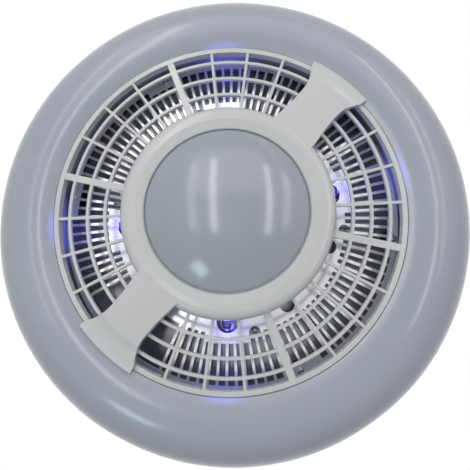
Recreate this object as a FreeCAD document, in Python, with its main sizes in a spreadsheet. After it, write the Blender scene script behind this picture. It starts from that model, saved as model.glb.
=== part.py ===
import FreeCAD, Part
import math
import os
import Sketcher
from FreeCAD import Placement, Rotation, Vector

# Ceiling insect killer bulb with a screw cap, a round opal light ring and a twist-off front guard.
# The origin is the centre of the contact's end face. +Z points to the lampholder, so the bulb hangs in -Z.
# Depths are measured from the contact's end face away from the lampholder, in millimetres.

DIMENSIONS = {
    # screw cap
    "contact_radius": 4.6,
    "contact_thickness": 1.0,
    "stem_radius": 2.2,
    "stem_depth": 4.0,
    "insulator_top_radius": 5.3,
    "insulator_radius": 10.6,
    "insulator_shoulder": 4.8,
    "insulator_depth": 7.0,
    "lip_depth": 4.4,
    "lip_radius": 11.7,
    "shell_bore": 11.3,
    "thread_mean_radius": 12.6,
    "thread_rise": 0.45,
    "thread_pitch": 3.6,
    "thread_start": 6.2,
    "band_radius": 13.1,
    "band_start": 21.2,
    "shell_end": 26.0,
    # rear housing
    "wall": 2.2,
    "spigot_start": 9.0,
    "spigot_bore": 9.5,
    "collar_radius": 15.4,
    "neck_radius": 16.4,
    "neck_start": 28.0,
    "flare_inner_radius": 20.5,
    "flare_inner_depth": 34.0,
    "flare_outer_radius": 62.0,
    "flare_outer_depth": 56.0,
    "flare_bend": 69.0,
    "back_edge_radius": 102.4,
    "back_edge_depth": 62.6,
    "back_edge_round": 2.9,
    "housing_radius": 105.0,
    "vent_inner": 37.0,
    "vent_outer": 51.0,
    "vent_width": 3.0,
    "boss_radius": 3.6,
    "boss_ring": 78.0,
    "boss_turn": 45.0,
    # opal light ring
    "equator_depth": 84.0,
    "tube_ring_radius": 96.0,
    "tube_radius": 25.0,
    "tube_rear_ring_radius": 103.0,
    "tube_rear_radius": 18.0,
    "opal_wall": 2.0,
    "opening_radius": 84.4,
    "opening_lip_radius": 89.0,
    "opening_lip_depth": 103.0,
    # tray and chamber wall
    "tray_back": 78.0,
    "tray_front": 80.0,
    "tray_hole": 18.0,
    "pad_radius": 4.5,
    "chamber_radius": 87.4,
    "chamber_wall_thickness": 1.5,
    "light_board_inner": 90.5,
    "light_board_outer": 101.5,
    "board_thickness": 1.2,
    "light_ring": 96.0,
    "light_length": 3.5,
    "light_width": 2.8,
    "light_height": 0.8,
    # electrode plates
    "plate_thickness": 0.8,
    "rear_plate_back": 82.4,
    "rear_plate_inner": 53.0,
    "rear_plate_outer": 86.4,
    "front_plate_back": 88.6,
    "front_plate_inner": 52.4,
    "front_plate_outer": 86.6,
    "slot_start": 59.8,
    "deep_slot_start": 64.2,
    "slot_end": 84.4,
    "short_slot_end": 81.4,
    "slot_pitch": 360.0 / 108.0,
    "slot_turn": 0.17,
    "bar_width": 1.4,
    "light_notch_ring": 53.6,
    "light_notch_radius": 5.4,
    "side_notch_ring": 53.4,
    "side_notch_radius": 3.8,
    "plate_screw_ring": 59.6,
    "clearance_hole": 2.9,
    "post_ring": 84.4,
    "post_radius": 2.8,
    "post_clearance": 4.4,
    "plate_hole": 1.3,
    "screw_core": 1.0,
    # hub post
    "post_wall_outer": 46.9,
    "post_wall_inner": 44.9,
    "post_base_radius": 51.5,
    "post_base_top": 81.8,
    "post_top": 106.0,
    "post_flange_thickness": 2.0,
    "post_opening": 33.0,
    "ledge_radius": 42.5,
    "ledge_back": 92.0,
    "ledge_front": 93.55,
    "catch_radius": 48.6,
    "catch_back": 103.2,
    "catch_front": 104.6,
    "catch_angle": 14.0,
    "stop_back": 101.2,
    "stop_angle": 3.0,
    # violet lamps
    "lamp_depth": 95.0,
    "lamp_radius": 2.5,
    "lamp_flange_radius": 2.9,
    "lamp_base": 47.0,
    "lamp_flange_end": 48.0,
    "lamp_tip": 56.7,
    "leg_start": 42.6,
    "leg_width": 0.5,
    "leg_spacing": 1.27,
    "leg_hole": 1.9,
    "lamp_board_inner": 37.0,
    "lamp_board_outer": 44.6,
    # centre light
    "centre_board_radius": 35.6,
    "centre_board_thickness": 1.4,
    "centre_hole": 4.0,
    "inner_light_ring": 12.0,
    "outer_light_ring": 26.0,
    "lens_radius": 38.2,
    "lens_shoulder": 111.4,
    "lens_rise": 10.0,
    "lens_wall": 1.8,
    # front guard
    "hub_bore": 38.8,
    "hub_crease_radius": 43.5,
    "hub_flat_radius": 46.0,
    "hub_radius": 50.8,
    "hub_front": 112.4,
    "hub_bore_front": 111.7,
    "hub_roof_back": 110.4,
    "hub_edge_depth": 107.7,
    "hub_round": 4.8,
    "skirt_back": 101.0,
    "skirt_bore": 49.0,
    "skirt_roof_back": 108.1,
    "grille_back": 104.9,
    "grille_front": 106.5,
    "ring_one": 59.1,
    "ring_two": 67.6,
    "ring_three": 76.2,
    "ring_width": 1.5,
    "rim_inner": 81.5,
    "rim_outer": 83.9,
    "rim_back": 103.2,
    "rim_front": 106.6,
    "rib_width": 1.4,
    "broad_rib_width": 3.4,
    "rib_pitch": 12.97,
    "broad_pitch": 15.16,
    "arm_turn": -48.0,
    "arm_blank_front": 113.5,
    "arm_root_half": 11.6,
    "arm_neck_half": 10.4,
    "arm_neck_start": 60.0,
    "arm_neck_end": 67.0,
    "arm_flare_radius": 80.0,
    "arm_flare_half": 15.0,
    "arm_flare_bend": 21.0,
    "wing_half": 16.0,
    "wing_radius": 85.3,
    "wing_back": 107.1,
    "wing_edge_depth": 109.4,
    "arm_shoulder_radius": 73.5,
    "arm_shoulder_depth": 110.9,
    "arm_dish_bend": 22.0,
    "lug_inner": 47.6,
    "lug_back": 101.2,
    "lug_front": 102.8,
    "lug_angle": 12.0,
    # driver electronics
    "driver_back": 64.0,
    "driver_thickness": 1.6,
    "driver_radius": 30.0,
    "pillar_ring": 26.0,
    "pillar_radius": 3.0,
    "core_length": 16.0,
    "core_width": 12.0,
    "core_height": 12.0,
    "core_limb": 3.0,
    "can_radius": 5.0,
    "can_height": 13.5,
    "film_length": 11.0,
    "film_width": 5.0,
    "film_height": 9.0,
    "bridge_length": 6.5,
    "bridge_width": 5.0,
    "bridge_height": 2.6,
    "multiplier_length": 18.0,
    "multiplier_width": 8.0,
    "multiplier_height": 8.0,
    "fuse_radius": 1.6,
    "fuse_length": 9.0,
}

# Slots round the front plate, counted from +X. The window under one arm has no bars.
SLOT_COUNT = 108
WINDOW_FIRST_SLOT = 35
WINDOW_SLOTS = 11
# Slots start further out near a violet lamp, and end sooner near a post, within these angles.
LAMP_MARGIN = 9.5
POST_MARGIN = 6.5

# Turns about Z, in degrees from +X.
LAMP_TURNS = (348.5, 269.5, 176.0, 92.0)
PLATE_SCREW_TURNS = (8.0, 255.0, 188.0, 78.5)
POST_TURNS = (9.0, 66.5, 189.0, 246.5)
SIDE_NOTCH_TURNS = (18.0, 58.0, 201.0, 213.0, 238.0)
PILLAR_COUNT = 3
BOSS_COUNT = 4
VENT_COUNT = 12
CATCH_COUNT = 3
RING_LIGHT_COUNT = 36
INNER_LIGHT_COUNT = 6
OUTER_LIGHT_COUNT = 12
THREAD_TURNS = 4
# A ridge of the cap's thread: share of the pitch, and the radius as a share of the rise either side of the mean.
THREAD_FLANKS = ((0.0, -1.0), (0.25, 0.2), (0.42, 1.0), (0.58, 1.0), (0.75, 0.2))


class Size:
    """A number together with the sheet expression that gives it."""

    def __init__(self, value, text):
        self.value = value
        self.text = text

    def _join(self, other, sign, result):
        return Size(result, f"({self.text} {sign} {as_size(other).text})")

    def __add__(self, other):
        return self._join(other, "+", self.value + as_size(other).value)

    def __sub__(self, other):
        return self._join(other, "-", self.value - as_size(other).value)

    def __mul__(self, other):
        return self._join(other, "*", self.value * as_size(other).value)

    def __truediv__(self, other):
        return self._join(other, "/", self.value / as_size(other).value)

    def __neg__(self):
        return Size(-self.value, f"(-1 * {self.text})")


def as_size(number):
    return number if isinstance(number, Size) else Size(float(number), repr(float(number)))


def cosine(angle):
    angle = as_size(angle)
    return Size(math.cos(math.radians(angle.value)), f"cos({angle.text} * 1 deg)")


def sine(angle):
    angle = as_size(angle)
    return Size(math.sin(math.radians(angle.value)), f"sin({angle.text} * 1 deg)")


def tangent(angle):
    angle = as_size(angle)
    return Size(math.tan(math.radians(angle.value)), f"tan({angle.text} * 1 deg)")


def root(square):
    return Size(math.sqrt(square.value), f"sqrt({square.text})")


class Dimensions:
    """The spreadsheet of driving dimensions, read as attributes."""

    def __init__(self, doc, table):
        self.sheet = doc.addObject("Spreadsheet::Sheet", "dims")
        for row, (name, value) in enumerate(table.items(), start=1):
            self.sheet.set(f"A{row}", name)
            self.sheet.set(f"B{row}", repr(value))
            self.sheet.setAlias(f"B{row}", name)
            setattr(self, name, Size(value, f"dims.{name}"))


document = FreeCAD.newDocument("insect_killer_bulb")
dims = Dimensions(document, DIMENSIONS)
document.recompute()
pieces = []


# helpers for sketches and features
def new_body(name):
    body = document.addObject("PartDesign::Body", name)
    body.Label = name
    pieces.append(body)
    return body


def keep(item, name):
    item.Label = name
    pieces.append(item)
    return item


def origin_feature(body, role):
    return [item for item in body.Origin.OriginFeatures if item.Role == role][0]


def new_sketch(body, plane, shift=(0, 0, 0), turn=0, turn_axis=(0, 0, 1)):
    """A sketch on one of the body's own origin planes, moved and turned within that plane's frame."""
    sketch = body.newObject("Sketcher::SketchObject", "sketch")
    sketch.AttachmentSupport = [(origin_feature(body, plane), "")]
    sketch.MapMode = "FlatFace"
    offsets = [as_size(value) for value in shift]
    angle = as_size(turn)
    base = Vector(*[offset.value for offset in offsets])
    sketch.AttachmentOffset = Placement(base, Rotation(Vector(*turn_axis), angle.value))
    for axis, offset in zip("xyz", offsets):
        if offset.value:
            sketch.setExpression(f"AttachmentOffset.Base.{axis}", offset.text)
    if angle.value:
        sketch.setExpression("AttachmentOffset.Rotation.Angle", angle.text)
    return sketch


def half_section(body, turn=0, shift=(0, 0, 0)):
    """A sketch whose x is the radius and whose y is Z, turned about Z."""
    return new_sketch(body, "XZ_Plane", shift, turn, (0, 1, 0))


def level(body, depth, turn=0):
    """A sketch square to Z at a depth below the contact."""
    return new_sketch(body, "XY_Plane", (0, 0, -as_size(depth)), turn)


def hold(sketch, geometry, end, x, y):
    """Dimension one point from the sketch's origin, with both values bound to the sheet."""
    for kind, size, axis in (("DistanceX", x, -2), ("DistanceY", y, -1)):
        size = as_size(size)
        if abs(size.value) < 1e-9:
            sketch.addConstraint(Sketcher.Constraint("PointOnObject", geometry, end, axis))
        elif size.value > 0:
            index = sketch.addConstraint(Sketcher.Constraint(kind, -1, 1, geometry, end, size.value))
            sketch.setExpression(f"Constraints[{index}]", size.text)
        else:
            index = sketch.addConstraint(Sketcher.Constraint(kind, geometry, end, -1, 1, -size.value))
            sketch.setExpression(f"Constraints[{index}]", (-size).text)


def arc_between(start, end, bend):
    """The short arc of radius bend; its centre lies left of the way for a positive bend, else right."""
    radius = abs(bend)
    middle = (start + end) * 0.5
    half = (end - start).Length / 2
    left = Vector(-(end - start).y, (end - start).x, 0).normalize()
    reach = math.sqrt(max(radius * radius - half * half, 0))
    centre = middle + left * (reach if bend > 0 else -reach)
    first, last = (start, end) if bend > 0 else (end, start)
    angles = [math.atan2(point.y - centre.y, point.x - centre.x) for point in (first, last)]
    circle = Part.Circle(centre, Vector(0, 0, 1), radius)
    return Part.ArcOfCircle(circle, angles[0], angles[1])


def outline(sketch, corners):
    """A closed outline. A corner is (x, y), or (x, y, bend) where the edge after it is an arc."""
    points = [Vector(as_size(corner[0]).value, as_size(corner[1]).value, 0) for corner in corners]
    ends = []
    for index, corner in enumerate(corners):
        start, end = points[index], points[(index + 1) % len(points)]
        bend = as_size(corner[2]) if len(corner) > 2 else None
        if bend is None:
            edge = sketch.addGeometry(Part.LineSegment(start, end), False)
            ends.append((edge, 1, 2))
            continue
        edge = sketch.addGeometry(arc_between(start, end, bend.value), False)
        ends.append((edge, 1, 2) if bend.value > 0 else (edge, 2, 1))
        radius = bend if bend.value > 0 else -bend
        held = sketch.addConstraint(Sketcher.Constraint("Radius", edge, radius.value))
        sketch.setExpression(f"Constraints[{held}]", radius.text)
    for index, corner in enumerate(corners):
        edge, first, _ = ends[index]
        before, _, last = ends[index - 1]
        sketch.addConstraint(Sketcher.Constraint("Coincident", before, last, edge, first))
        hold(sketch, edge, first, corner[0], corner[1])
    return sketch


def circle(sketch, radius, x=0, y=0):
    radius = as_size(radius)
    centre = Vector(as_size(x).value, as_size(y).value, 0)
    edge = sketch.addGeometry(Part.Circle(centre, Vector(0, 0, 1), radius.value), False)
    held = sketch.addConstraint(Sketcher.Constraint("Radius", edge, radius.value))
    sketch.setExpression(f"Constraints[{held}]", radius.text)
    hold(sketch, edge, 3, x, y)
    return sketch


def rectangle(sketch, left, right, bottom, top):
    return outline(sketch, [(left, bottom), (right, bottom), (right, top), (left, top)])


def sector(sketch, inner, outer, half_angle):
    """An annular sector that straddles the sketch's x axis."""
    near_x, near_y = inner * cosine(half_angle), inner * sine(half_angle)
    far_x, far_y = outer * cosine(half_angle), outer * sine(half_angle)
    corners = [(near_x, -near_y), (far_x, -far_y, outer), (far_x, far_y), (near_x, near_y, -inner)]
    return outline(sketch, corners)


def finish(body, feature):
    body.Tip = feature
    document.recompute()
    return feature


def revolve(body, sketch, axis="V_Axis"):
    feature = body.newObject("PartDesign::Revolution", "revolution")
    feature.Profile = sketch
    feature.ReferenceAxis = (sketch, [axis])
    feature.Angle = 360
    return finish(body, feature)


def pad(body, sketch, length):
    """Adds material from the sketch towards +Z."""
    feature = body.newObject("PartDesign::Pad", "pad")
    feature.Profile = sketch
    feature.Length = as_size(length).value
    feature.setExpression("Length", as_size(length).text)
    return finish(body, feature)


def check_cut(body, before):
    if not body.Shape.Volume < before - 1e-6:
        raise RuntimeError(f"{body.Label}: a cut took nothing away")


def pocket(body, sketch, length=None, forward=False):
    """Cuts from the sketch away from its normal, or along it, by a length or right through."""
    before = body.Shape.Volume
    feature = body.newObject("PartDesign::Pocket", "pocket")
    feature.Profile = sketch
    feature.Reversed = forward
    if length is None:
        feature.Type = "ThroughAll"
    else:
        feature.Length = as_size(length).value
        feature.setExpression("Length", as_size(length).text)
    finish(body, feature)
    check_cut(body, before)
    return feature


def groove(body, sketch):
    before = body.Shape.Volume
    feature = body.newObject("PartDesign::Groove", "groove")
    feature.Profile = sketch
    feature.ReferenceAxis = (sketch, ["V_Axis"])
    feature.Angle = 360
    finish(body, feature)
    check_cut(body, before)
    return feature


def repeat(body, features, count, angle=360):
    """Turns features about Z. A full turn is shared out evenly; less is the angle from first to last."""
    feature = body.newObject("PartDesign::PolarPattern", "pattern")
    feature.Originals = features if isinstance(features, list) else [features]
    feature.Axis = (origin_feature(body, "Z_Axis"), [""])
    feature.Occurrences = count
    feature.Angle = as_size(angle).value
    if isinstance(angle, Size):
        feature.setExpression("Angle", angle.text)
    return finish(body, feature)


# screw cap
def make_centre_contact():
    body = new_body("centre_contact")
    sketch = half_section(body)
    outline(sketch, [
        (0, 0),
        (dims.contact_radius, 0),
        (dims.contact_radius, -dims.contact_thickness),
        (dims.stem_radius, -dims.contact_thickness),
        (dims.stem_radius, -dims.stem_depth),
        (0, -dims.stem_depth),
    ])
    revolve(body, sketch)


def make_cap_insulator():
    body = new_body("cap_insulator")
    sketch = half_section(body)
    outline(sketch, [
        (dims.stem_radius, -dims.contact_thickness),
        (dims.insulator_top_radius, -dims.contact_thickness),
        (dims.insulator_radius, -dims.insulator_shoulder),
        (dims.insulator_radius, -dims.insulator_depth),
        (dims.stem_radius, -dims.insulator_depth),
    ])
    revolve(body, sketch)


def make_screw_shell():
    body = new_body("screw_shell")
    sketch = half_section(body)
    corners = [(dims.insulator_radius, -dims.lip_depth), (dims.lip_radius, -dims.lip_depth)]
    for turn in range(THREAD_TURNS):
        root_depth = dims.thread_start + dims.thread_pitch * turn
        for share, radius in THREAD_FLANKS:
            corners.append((dims.thread_mean_radius + dims.thread_rise * radius,
                            -(root_depth + dims.thread_pitch * share)))
    corners += [
        (dims.thread_mean_radius - dims.thread_rise, -(dims.thread_start + dims.thread_pitch * THREAD_TURNS)),
        (dims.band_radius, -dims.band_start),
        (dims.band_radius, -dims.shell_end),
        (dims.shell_bore, -dims.shell_end),
        (dims.shell_bore, -dims.insulator_depth),
        (dims.insulator_radius, -dims.insulator_depth),
    ]
    outline(sketch, corners)
    revolve(body, sketch)


# rear housing
def make_rear_housing():
    body = new_body("rear_housing")
    sketch = half_section(body)
    wall = dims.wall
    outline(sketch, [
        (dims.housing_radius, -dims.tray_back),
        (dims.housing_radius, -(dims.back_edge_depth + dims.back_edge_round), dims.back_edge_round),
        (dims.back_edge_radius, -dims.back_edge_depth),
        (dims.flare_outer_radius, -dims.flare_outer_depth, -dims.flare_bend),
        (dims.flare_inner_radius, -dims.flare_inner_depth),
        (dims.neck_radius, -dims.neck_start),
        (dims.collar_radius, -dims.shell_end),
        (dims.shell_bore, -dims.shell_end),
        (dims.shell_bore, -dims.spigot_start),
        (dims.spigot_bore, -dims.spigot_start),
        (dims.spigot_bore, -dims.neck_start),
        (dims.neck_radius - wall, -(dims.neck_start + wall / 2)),
        (dims.flare_inner_radius - wall, -(dims.flare_inner_depth + wall / 2), dims.flare_bend + wall),
        (dims.flare_outer_radius, -(dims.flare_outer_depth + wall)),
        (dims.back_edge_radius - wall / 2, -(dims.back_edge_depth + wall)),
        (dims.housing_radius - wall, -(dims.back_edge_depth + dims.back_edge_round)),
        (dims.housing_radius - wall, -dims.tray_back),
    ])
    revolve(body, sketch)

    half_width = dims.vent_width / 2
    end_round = half_width * 1.1
    vent = level(body, dims.neck_start)
    outline(vent, [
        (dims.vent_inner + half_width, -half_width),
        (dims.vent_outer - half_width, -half_width, end_round),
        (dims.vent_outer - half_width, half_width),
        (dims.vent_inner + half_width, half_width, end_round),
    ])
    cut = pocket(body, vent, dims.driver_back - dims.neck_start)
    repeat(body, cut, VENT_COUNT)

    reach = dims.boss_ring
    turn = dims.boss_turn
    bosses = level(body, dims.tray_back)
    holes = level(body, dims.neck_start)
    heads = level(body, dims.neck_start)
    for index in range(BOSS_COUNT):
        angle = turn + 360.0 / BOSS_COUNT * index
        x, y = reach * cosine(angle), reach * sine(angle)
        circle(bosses, dims.boss_radius, x, y)
        circle(holes, dims.plate_hole, x, y)
        circle(heads, dims.boss_radius - 0.8, x, y)
    pad(body, bosses, dims.tray_back - dims.flare_outer_depth - wall - wall / 2)
    pocket(body, heads, dims.back_edge_depth - dims.neck_start - wall / 2)
    pocket(body, holes)


def make_screws(name, entries):
    """Pan head screws as separate solids: radius, turn, head face depth, head height, head radius and tip depth."""
    body = new_body(name)
    for ring, turn, head_face, head_height, head_radius, tip, way in entries:
        x, y = ring * cosine(turn), ring * sine(turn)
        sketch = half_section(body, 0, (x, 0, -y))
        seat = head_face + head_height * way
        outline(sketch, [
            (0, -head_face),
            (head_radius * 0.7, -head_face),
            (head_radius, -(head_face + head_height * (0.5 * way))),
            (head_radius, -seat),
            (dims.screw_core, -seat),
            (dims.screw_core, -tip),
            (0, -tip),
        ])
        revolve(body, sketch)


# light ring
def make_ring_diffuser():
    body = new_body("ring_diffuser")
    sketch = half_section(body)
    centre = dims.tube_ring_radius
    rear = dims.tube_rear_ring_radius
    inner_radius = dims.tube_radius - dims.opal_wall
    rear_inner_radius = dims.tube_rear_radius - dims.opal_wall

    def height(radius, ring, x):
        return root(radius * radius - (x - ring) * (x - ring))

    lip_top = height(dims.tube_radius, centre, dims.opening_radius)
    lip_inside = height(inner_radius, centre, dims.opening_lip_radius)
    rear_end = height(dims.tube_rear_radius, rear, dims.housing_radius)
    rear_inside = height(rear_inner_radius, rear, dims.housing_radius)
    outline(sketch, [
        (dims.opening_radius, -dims.opening_lip_depth),
        (dims.opening_radius, -(dims.equator_depth + lip_top), dims.tube_radius),
        (centre + dims.tube_radius, -dims.equator_depth, dims.tube_rear_radius),
        (dims.housing_radius, -(dims.equator_depth - rear_end)),
        (dims.housing_radius, -(dims.equator_depth - rear_inside), -rear_inner_radius),
        (centre + inner_radius, -dims.equator_depth, -inner_radius),
        (dims.opening_lip_radius, -(dims.equator_depth + lip_inside)),
        (dims.opening_lip_radius, -dims.opening_lip_depth),
    ])
    revolve(body, sketch)


def make_ring_led_board():
    body = new_body("ring_led_board")
    sketch = level(body, dims.tray_front + dims.board_thickness)
    circle(sketch, dims.light_board_outer)
    circle(sketch, dims.light_board_inner)
    pad(body, sketch, dims.board_thickness)


def make_lights(name, depth, rings):
    """Surface mounted LEDs as separate solids, in one or more rings on the front of a board."""
    body = new_body(name)
    for ring, count in rings:
        sketch = level(body, depth + dims.light_height)
        half_length, half_width = dims.light_length / 2, dims.light_width / 2
        rectangle(sketch, ring - half_width, ring + half_width, -half_length, half_length)
        repeat(body, pad(body, sketch, dims.light_height), count)


# chamber
def make_chamber_tray():
    body = new_body("chamber_tray")
    floor = level(body, dims.tray_front)
    circle(floor, dims.housing_radius)
    circle(floor, dims.tray_hole)
    pad(body, floor, dims.tray_front - dims.tray_back)

    pads = level(body, dims.rear_plate_back)
    for index in range(BOSS_COUNT):
        angle = dims.boss_turn + 360.0 / BOSS_COUNT * index
        circle(pads, dims.pad_radius, dims.boss_ring * cosine(angle), dims.boss_ring * sine(angle))
    for turn in PLATE_SCREW_TURNS:
        x, y = dims.plate_screw_ring * cosine(turn), dims.plate_screw_ring * sine(turn)
        circle(pads, dims.pad_radius, x, y)
    pad(body, pads, dims.rear_plate_back - dims.tray_front)

    pillars = level(body, dims.tray_back)
    pillar_holes = level(body, dims.driver_back)
    for index in range(PILLAR_COUNT):
        angle = 360.0 / PILLAR_COUNT * index
        x, y = dims.pillar_ring * cosine(angle), dims.pillar_ring * sine(angle)
        circle(pillars, dims.pillar_radius, x, y)
        circle(pillar_holes, dims.screw_core, x, y)
    pad(body, pillars, dims.tray_back - dims.driver_back - dims.driver_thickness)
    pocket(body, pillar_holes, dims.tray_back - dims.driver_back - 2)

    boss_holes = level(body, dims.tray_back - 1)
    for index in range(BOSS_COUNT):
        angle = dims.boss_turn + 360.0 / BOSS_COUNT * index
        circle(boss_holes, dims.screw_core, dims.boss_ring * cosine(angle), dims.boss_ring * sine(angle))
    pocket(body, boss_holes, dims.tray_front - dims.tray_back + 2.6)

    screw_holes = level(body, dims.rear_plate_back + 1)
    for turn in PLATE_SCREW_TURNS:
        x, y = dims.plate_screw_ring * cosine(turn), dims.plate_screw_ring * sine(turn)
        circle(screw_holes, dims.screw_core, x, y)
    pocket(body, screw_holes, dims.rear_plate_back + 1 - dims.tray_back - 0.4, forward=True)


def make_chamber_wall():
    body = new_body("chamber_wall")
    sketch = level(body, dims.opening_lip_depth)
    circle(sketch, dims.chamber_radius + dims.chamber_wall_thickness)
    circle(sketch, dims.chamber_radius)
    pad(body, sketch, dims.opening_lip_depth - dims.tray_front)


def make_rear_electrode():
    body = new_body("rear_electrode")
    front = dims.rear_plate_back + dims.plate_thickness
    sketch = level(body, front)
    circle(sketch, dims.rear_plate_outer)
    circle(sketch, dims.rear_plate_inner)
    for turn in PLATE_SCREW_TURNS:
        x, y = dims.plate_screw_ring * cosine(turn), dims.plate_screw_ring * sine(turn)
        circle(sketch, dims.plate_hole, x, y)
    pad(body, sketch, dims.plate_thickness)
    notches = level(body, dims.rear_plate_back - 1)
    for turn in POST_TURNS:
        circle(notches, dims.post_clearance, dims.post_ring * cosine(turn), dims.post_ring * sine(turn))
    pocket(body, notches)


def slot_corners(start, end):
    """A slot between two bars of even width, about the sketch's x axis."""
    slope = tangent(dims.slot_pitch / 2)
    near = start * slope - dims.bar_width / 2
    far = end * slope - dims.bar_width / 2
    return [(start, -near), (end, -far), (end, far), (start, near)]


def is_near(angle, turns, margin):
    return any(abs((angle - turn + 180) % 360 - 180) < margin for turn in turns)


def slot_runs():
    """Runs of like slots that follow each other: (first slot, number, near a lamp, near a post)."""
    window = range(WINDOW_FIRST_SLOT, WINDOW_FIRST_SLOT + WINDOW_SLOTS)
    runs = []
    for index in range(SLOT_COUNT):
        if index in window:
            continue
        angle = dims.slot_turn.value + dims.slot_pitch.value * index
        kind = (is_near(angle, LAMP_TURNS, LAMP_MARGIN), is_near(angle, POST_TURNS, POST_MARGIN))
        if runs and runs[-1][2:] == kind and sum(runs[-1][:2]) == index:
            runs[-1] = (runs[-1][0], runs[-1][1] + 1, *kind)
        else:
            runs.append((index, 1, *kind))
    return runs


def make_front_electrode():
    body = new_body("front_electrode")
    front = dims.front_plate_back + dims.plate_thickness
    plate = level(body, front)
    circle(plate, dims.front_plate_outer)
    circle(plate, dims.front_plate_inner)
    pad(body, plate, dims.plate_thickness)

    above = dims.front_plate_back - 1
    through = dims.plate_thickness + 2
    for first, count, by_lamp, by_post in slot_runs():
        slot = level(body, above, dims.slot_turn + dims.slot_pitch * first)
        start = dims.deep_slot_start if by_lamp else dims.slot_start
        end = dims.short_slot_end if by_post else dims.slot_end
        outline(slot, slot_corners(start, end))
        cut = pocket(body, slot, through)
        if count > 1:
            repeat(body, cut, count, dims.slot_pitch * (count - 1))

    window = level(body, above, dims.slot_turn + dims.slot_pitch * (WINDOW_FIRST_SLOT + (WINDOW_SLOTS - 1) / 2))
    sector(window, dims.slot_start, dims.slot_end, dims.slot_pitch * (WINDOW_SLOTS / 2) - 0.6)
    pocket(body, window, through)

    notches = level(body, above)
    for turn in LAMP_TURNS:
        x, y = dims.light_notch_ring * cosine(turn), dims.light_notch_ring * sine(turn)
        circle(notches, dims.light_notch_radius, x, y)
    for turn in SIDE_NOTCH_TURNS:
        x, y = dims.side_notch_ring * cosine(turn), dims.side_notch_ring * sine(turn)
        circle(notches, dims.side_notch_radius, x, y)
    pocket(body, notches, through)

    holes = level(body, above)
    for turn in PLATE_SCREW_TURNS:
        x, y = dims.plate_screw_ring * cosine(turn), dims.plate_screw_ring * sine(turn)
        circle(holes, dims.clearance_hole, x, y)
    for turn in POST_TURNS:
        circle(holes, dims.plate_hole, dims.post_ring * cosine(turn), dims.post_ring * sine(turn))
    pocket(body, holes, through)


def make_insulator_posts():
    for index, turn in enumerate(POST_TURNS, start=1):
        body = new_body(f"insulator_post_{index}")
        sketch = level(body, dims.front_plate_back)
        x, y = dims.post_ring * cosine(turn), dims.post_ring * sine(turn)
        circle(sketch, dims.post_radius, x, y)
        circle(sketch, dims.screw_core, x, y)
        pad(body, sketch, dims.front_plate_back - dims.tray_front)


# hub post and its lights
def make_hub_post():
    body = new_body("hub_post")
    sketch = half_section(body)
    outline(sketch, [
        (dims.post_wall_inner, -dims.tray_front),
        (dims.post_base_radius, -dims.tray_front),
        (dims.post_base_radius, -dims.post_base_top),
        (dims.post_wall_outer, -dims.post_base_top),
        (dims.post_wall_outer, -dims.post_top),
        (dims.post_opening, -dims.post_top),
        (dims.post_opening, -(dims.post_top - dims.post_flange_thickness)),
        (dims.post_wall_inner, -(dims.post_top - dims.post_flange_thickness)),
        (dims.post_wall_inner, -dims.ledge_front),
        (dims.ledge_radius, -dims.ledge_front),
        (dims.ledge_radius, -dims.ledge_back),
        (dims.post_wall_inner, -dims.ledge_back),
    ])
    revolve(body, sketch)

    catch = level(body, dims.catch_front)
    sector(catch, dims.post_wall_outer - 0.4, dims.catch_radius, dims.catch_angle / 2)
    repeat(body, pad(body, catch, dims.catch_front - dims.catch_back), CATCH_COUNT)
    stop = level(body, dims.catch_front, dims.catch_angle / 2 + dims.stop_angle / 2)
    sector(stop, dims.post_wall_outer - 0.4, dims.catch_radius, dims.stop_angle / 2)
    repeat(body, pad(body, stop, dims.catch_front - dims.stop_back), CATCH_COUNT)

    for turn in LAMP_TURNS:
        hole = new_sketch(body, "YZ_Plane", turn=turn, turn_axis=(0, 1, 0))
        circle(hole, dims.leg_hole, 0, -dims.lamp_depth)
        pocket(body, hole, forward=True)


def make_uv_led_board():
    body = new_body("uv_led_board")
    front = dims.ledge_front + dims.board_thickness
    sketch = level(body, front)
    circle(sketch, dims.lamp_board_outer)
    circle(sketch, dims.lamp_board_inner)
    pad(body, sketch, dims.board_thickness)


def make_uv_leds():
    for index, turn in enumerate(LAMP_TURNS, start=1):
        body = new_body(f"uv_led_{index}")
        sketch = half_section(body, turn, (0, -dims.lamp_depth, 0))
        dome_start = dims.lamp_tip - dims.lamp_radius
        outline(sketch, [
            (dims.lamp_base, 0),
            (dims.lamp_tip, 0, dims.lamp_radius),
            (dome_start, dims.lamp_radius),
            (dims.lamp_flange_end, dims.lamp_radius),
            (dims.lamp_flange_end, dims.lamp_flange_radius),
            (dims.lamp_base, dims.lamp_flange_radius),
        ])
        revolve(body, sketch, "H_Axis")
        legs = level(body, dims.lamp_depth + dims.leg_width / 2, turn)
        for side in (1, -1):
            edges = [dims.leg_spacing * side - dims.leg_width / 2, dims.leg_spacing * side + dims.leg_width / 2]
            rectangle(legs, dims.leg_start, dims.lamp_base + 0.2, edges[0], edges[1])
        pad(body, legs, dims.leg_width)


def make_centre_led_board():
    body = new_body("centre_led_board")
    sketch = level(body, dims.post_top + dims.centre_board_thickness)
    circle(sketch, dims.centre_board_radius)
    circle(sketch, dims.centre_hole)
    pad(body, sketch, dims.centre_board_thickness)


def make_centre_lens():
    """A domed opal cap: the overlap of a cylinder and a sphere, hollowed by a smaller pair."""
    outer = dome(dims.lens_radius, dims.lens_rise, dims.lens_shoulder, 0)
    wall = dims.lens_wall
    inner = dome(dims.lens_radius - wall, dims.lens_rise - 1, dims.lens_shoulder - wall + 1, 1)
    keep(cut_away(outer, inner), "centre_lens")


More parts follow.
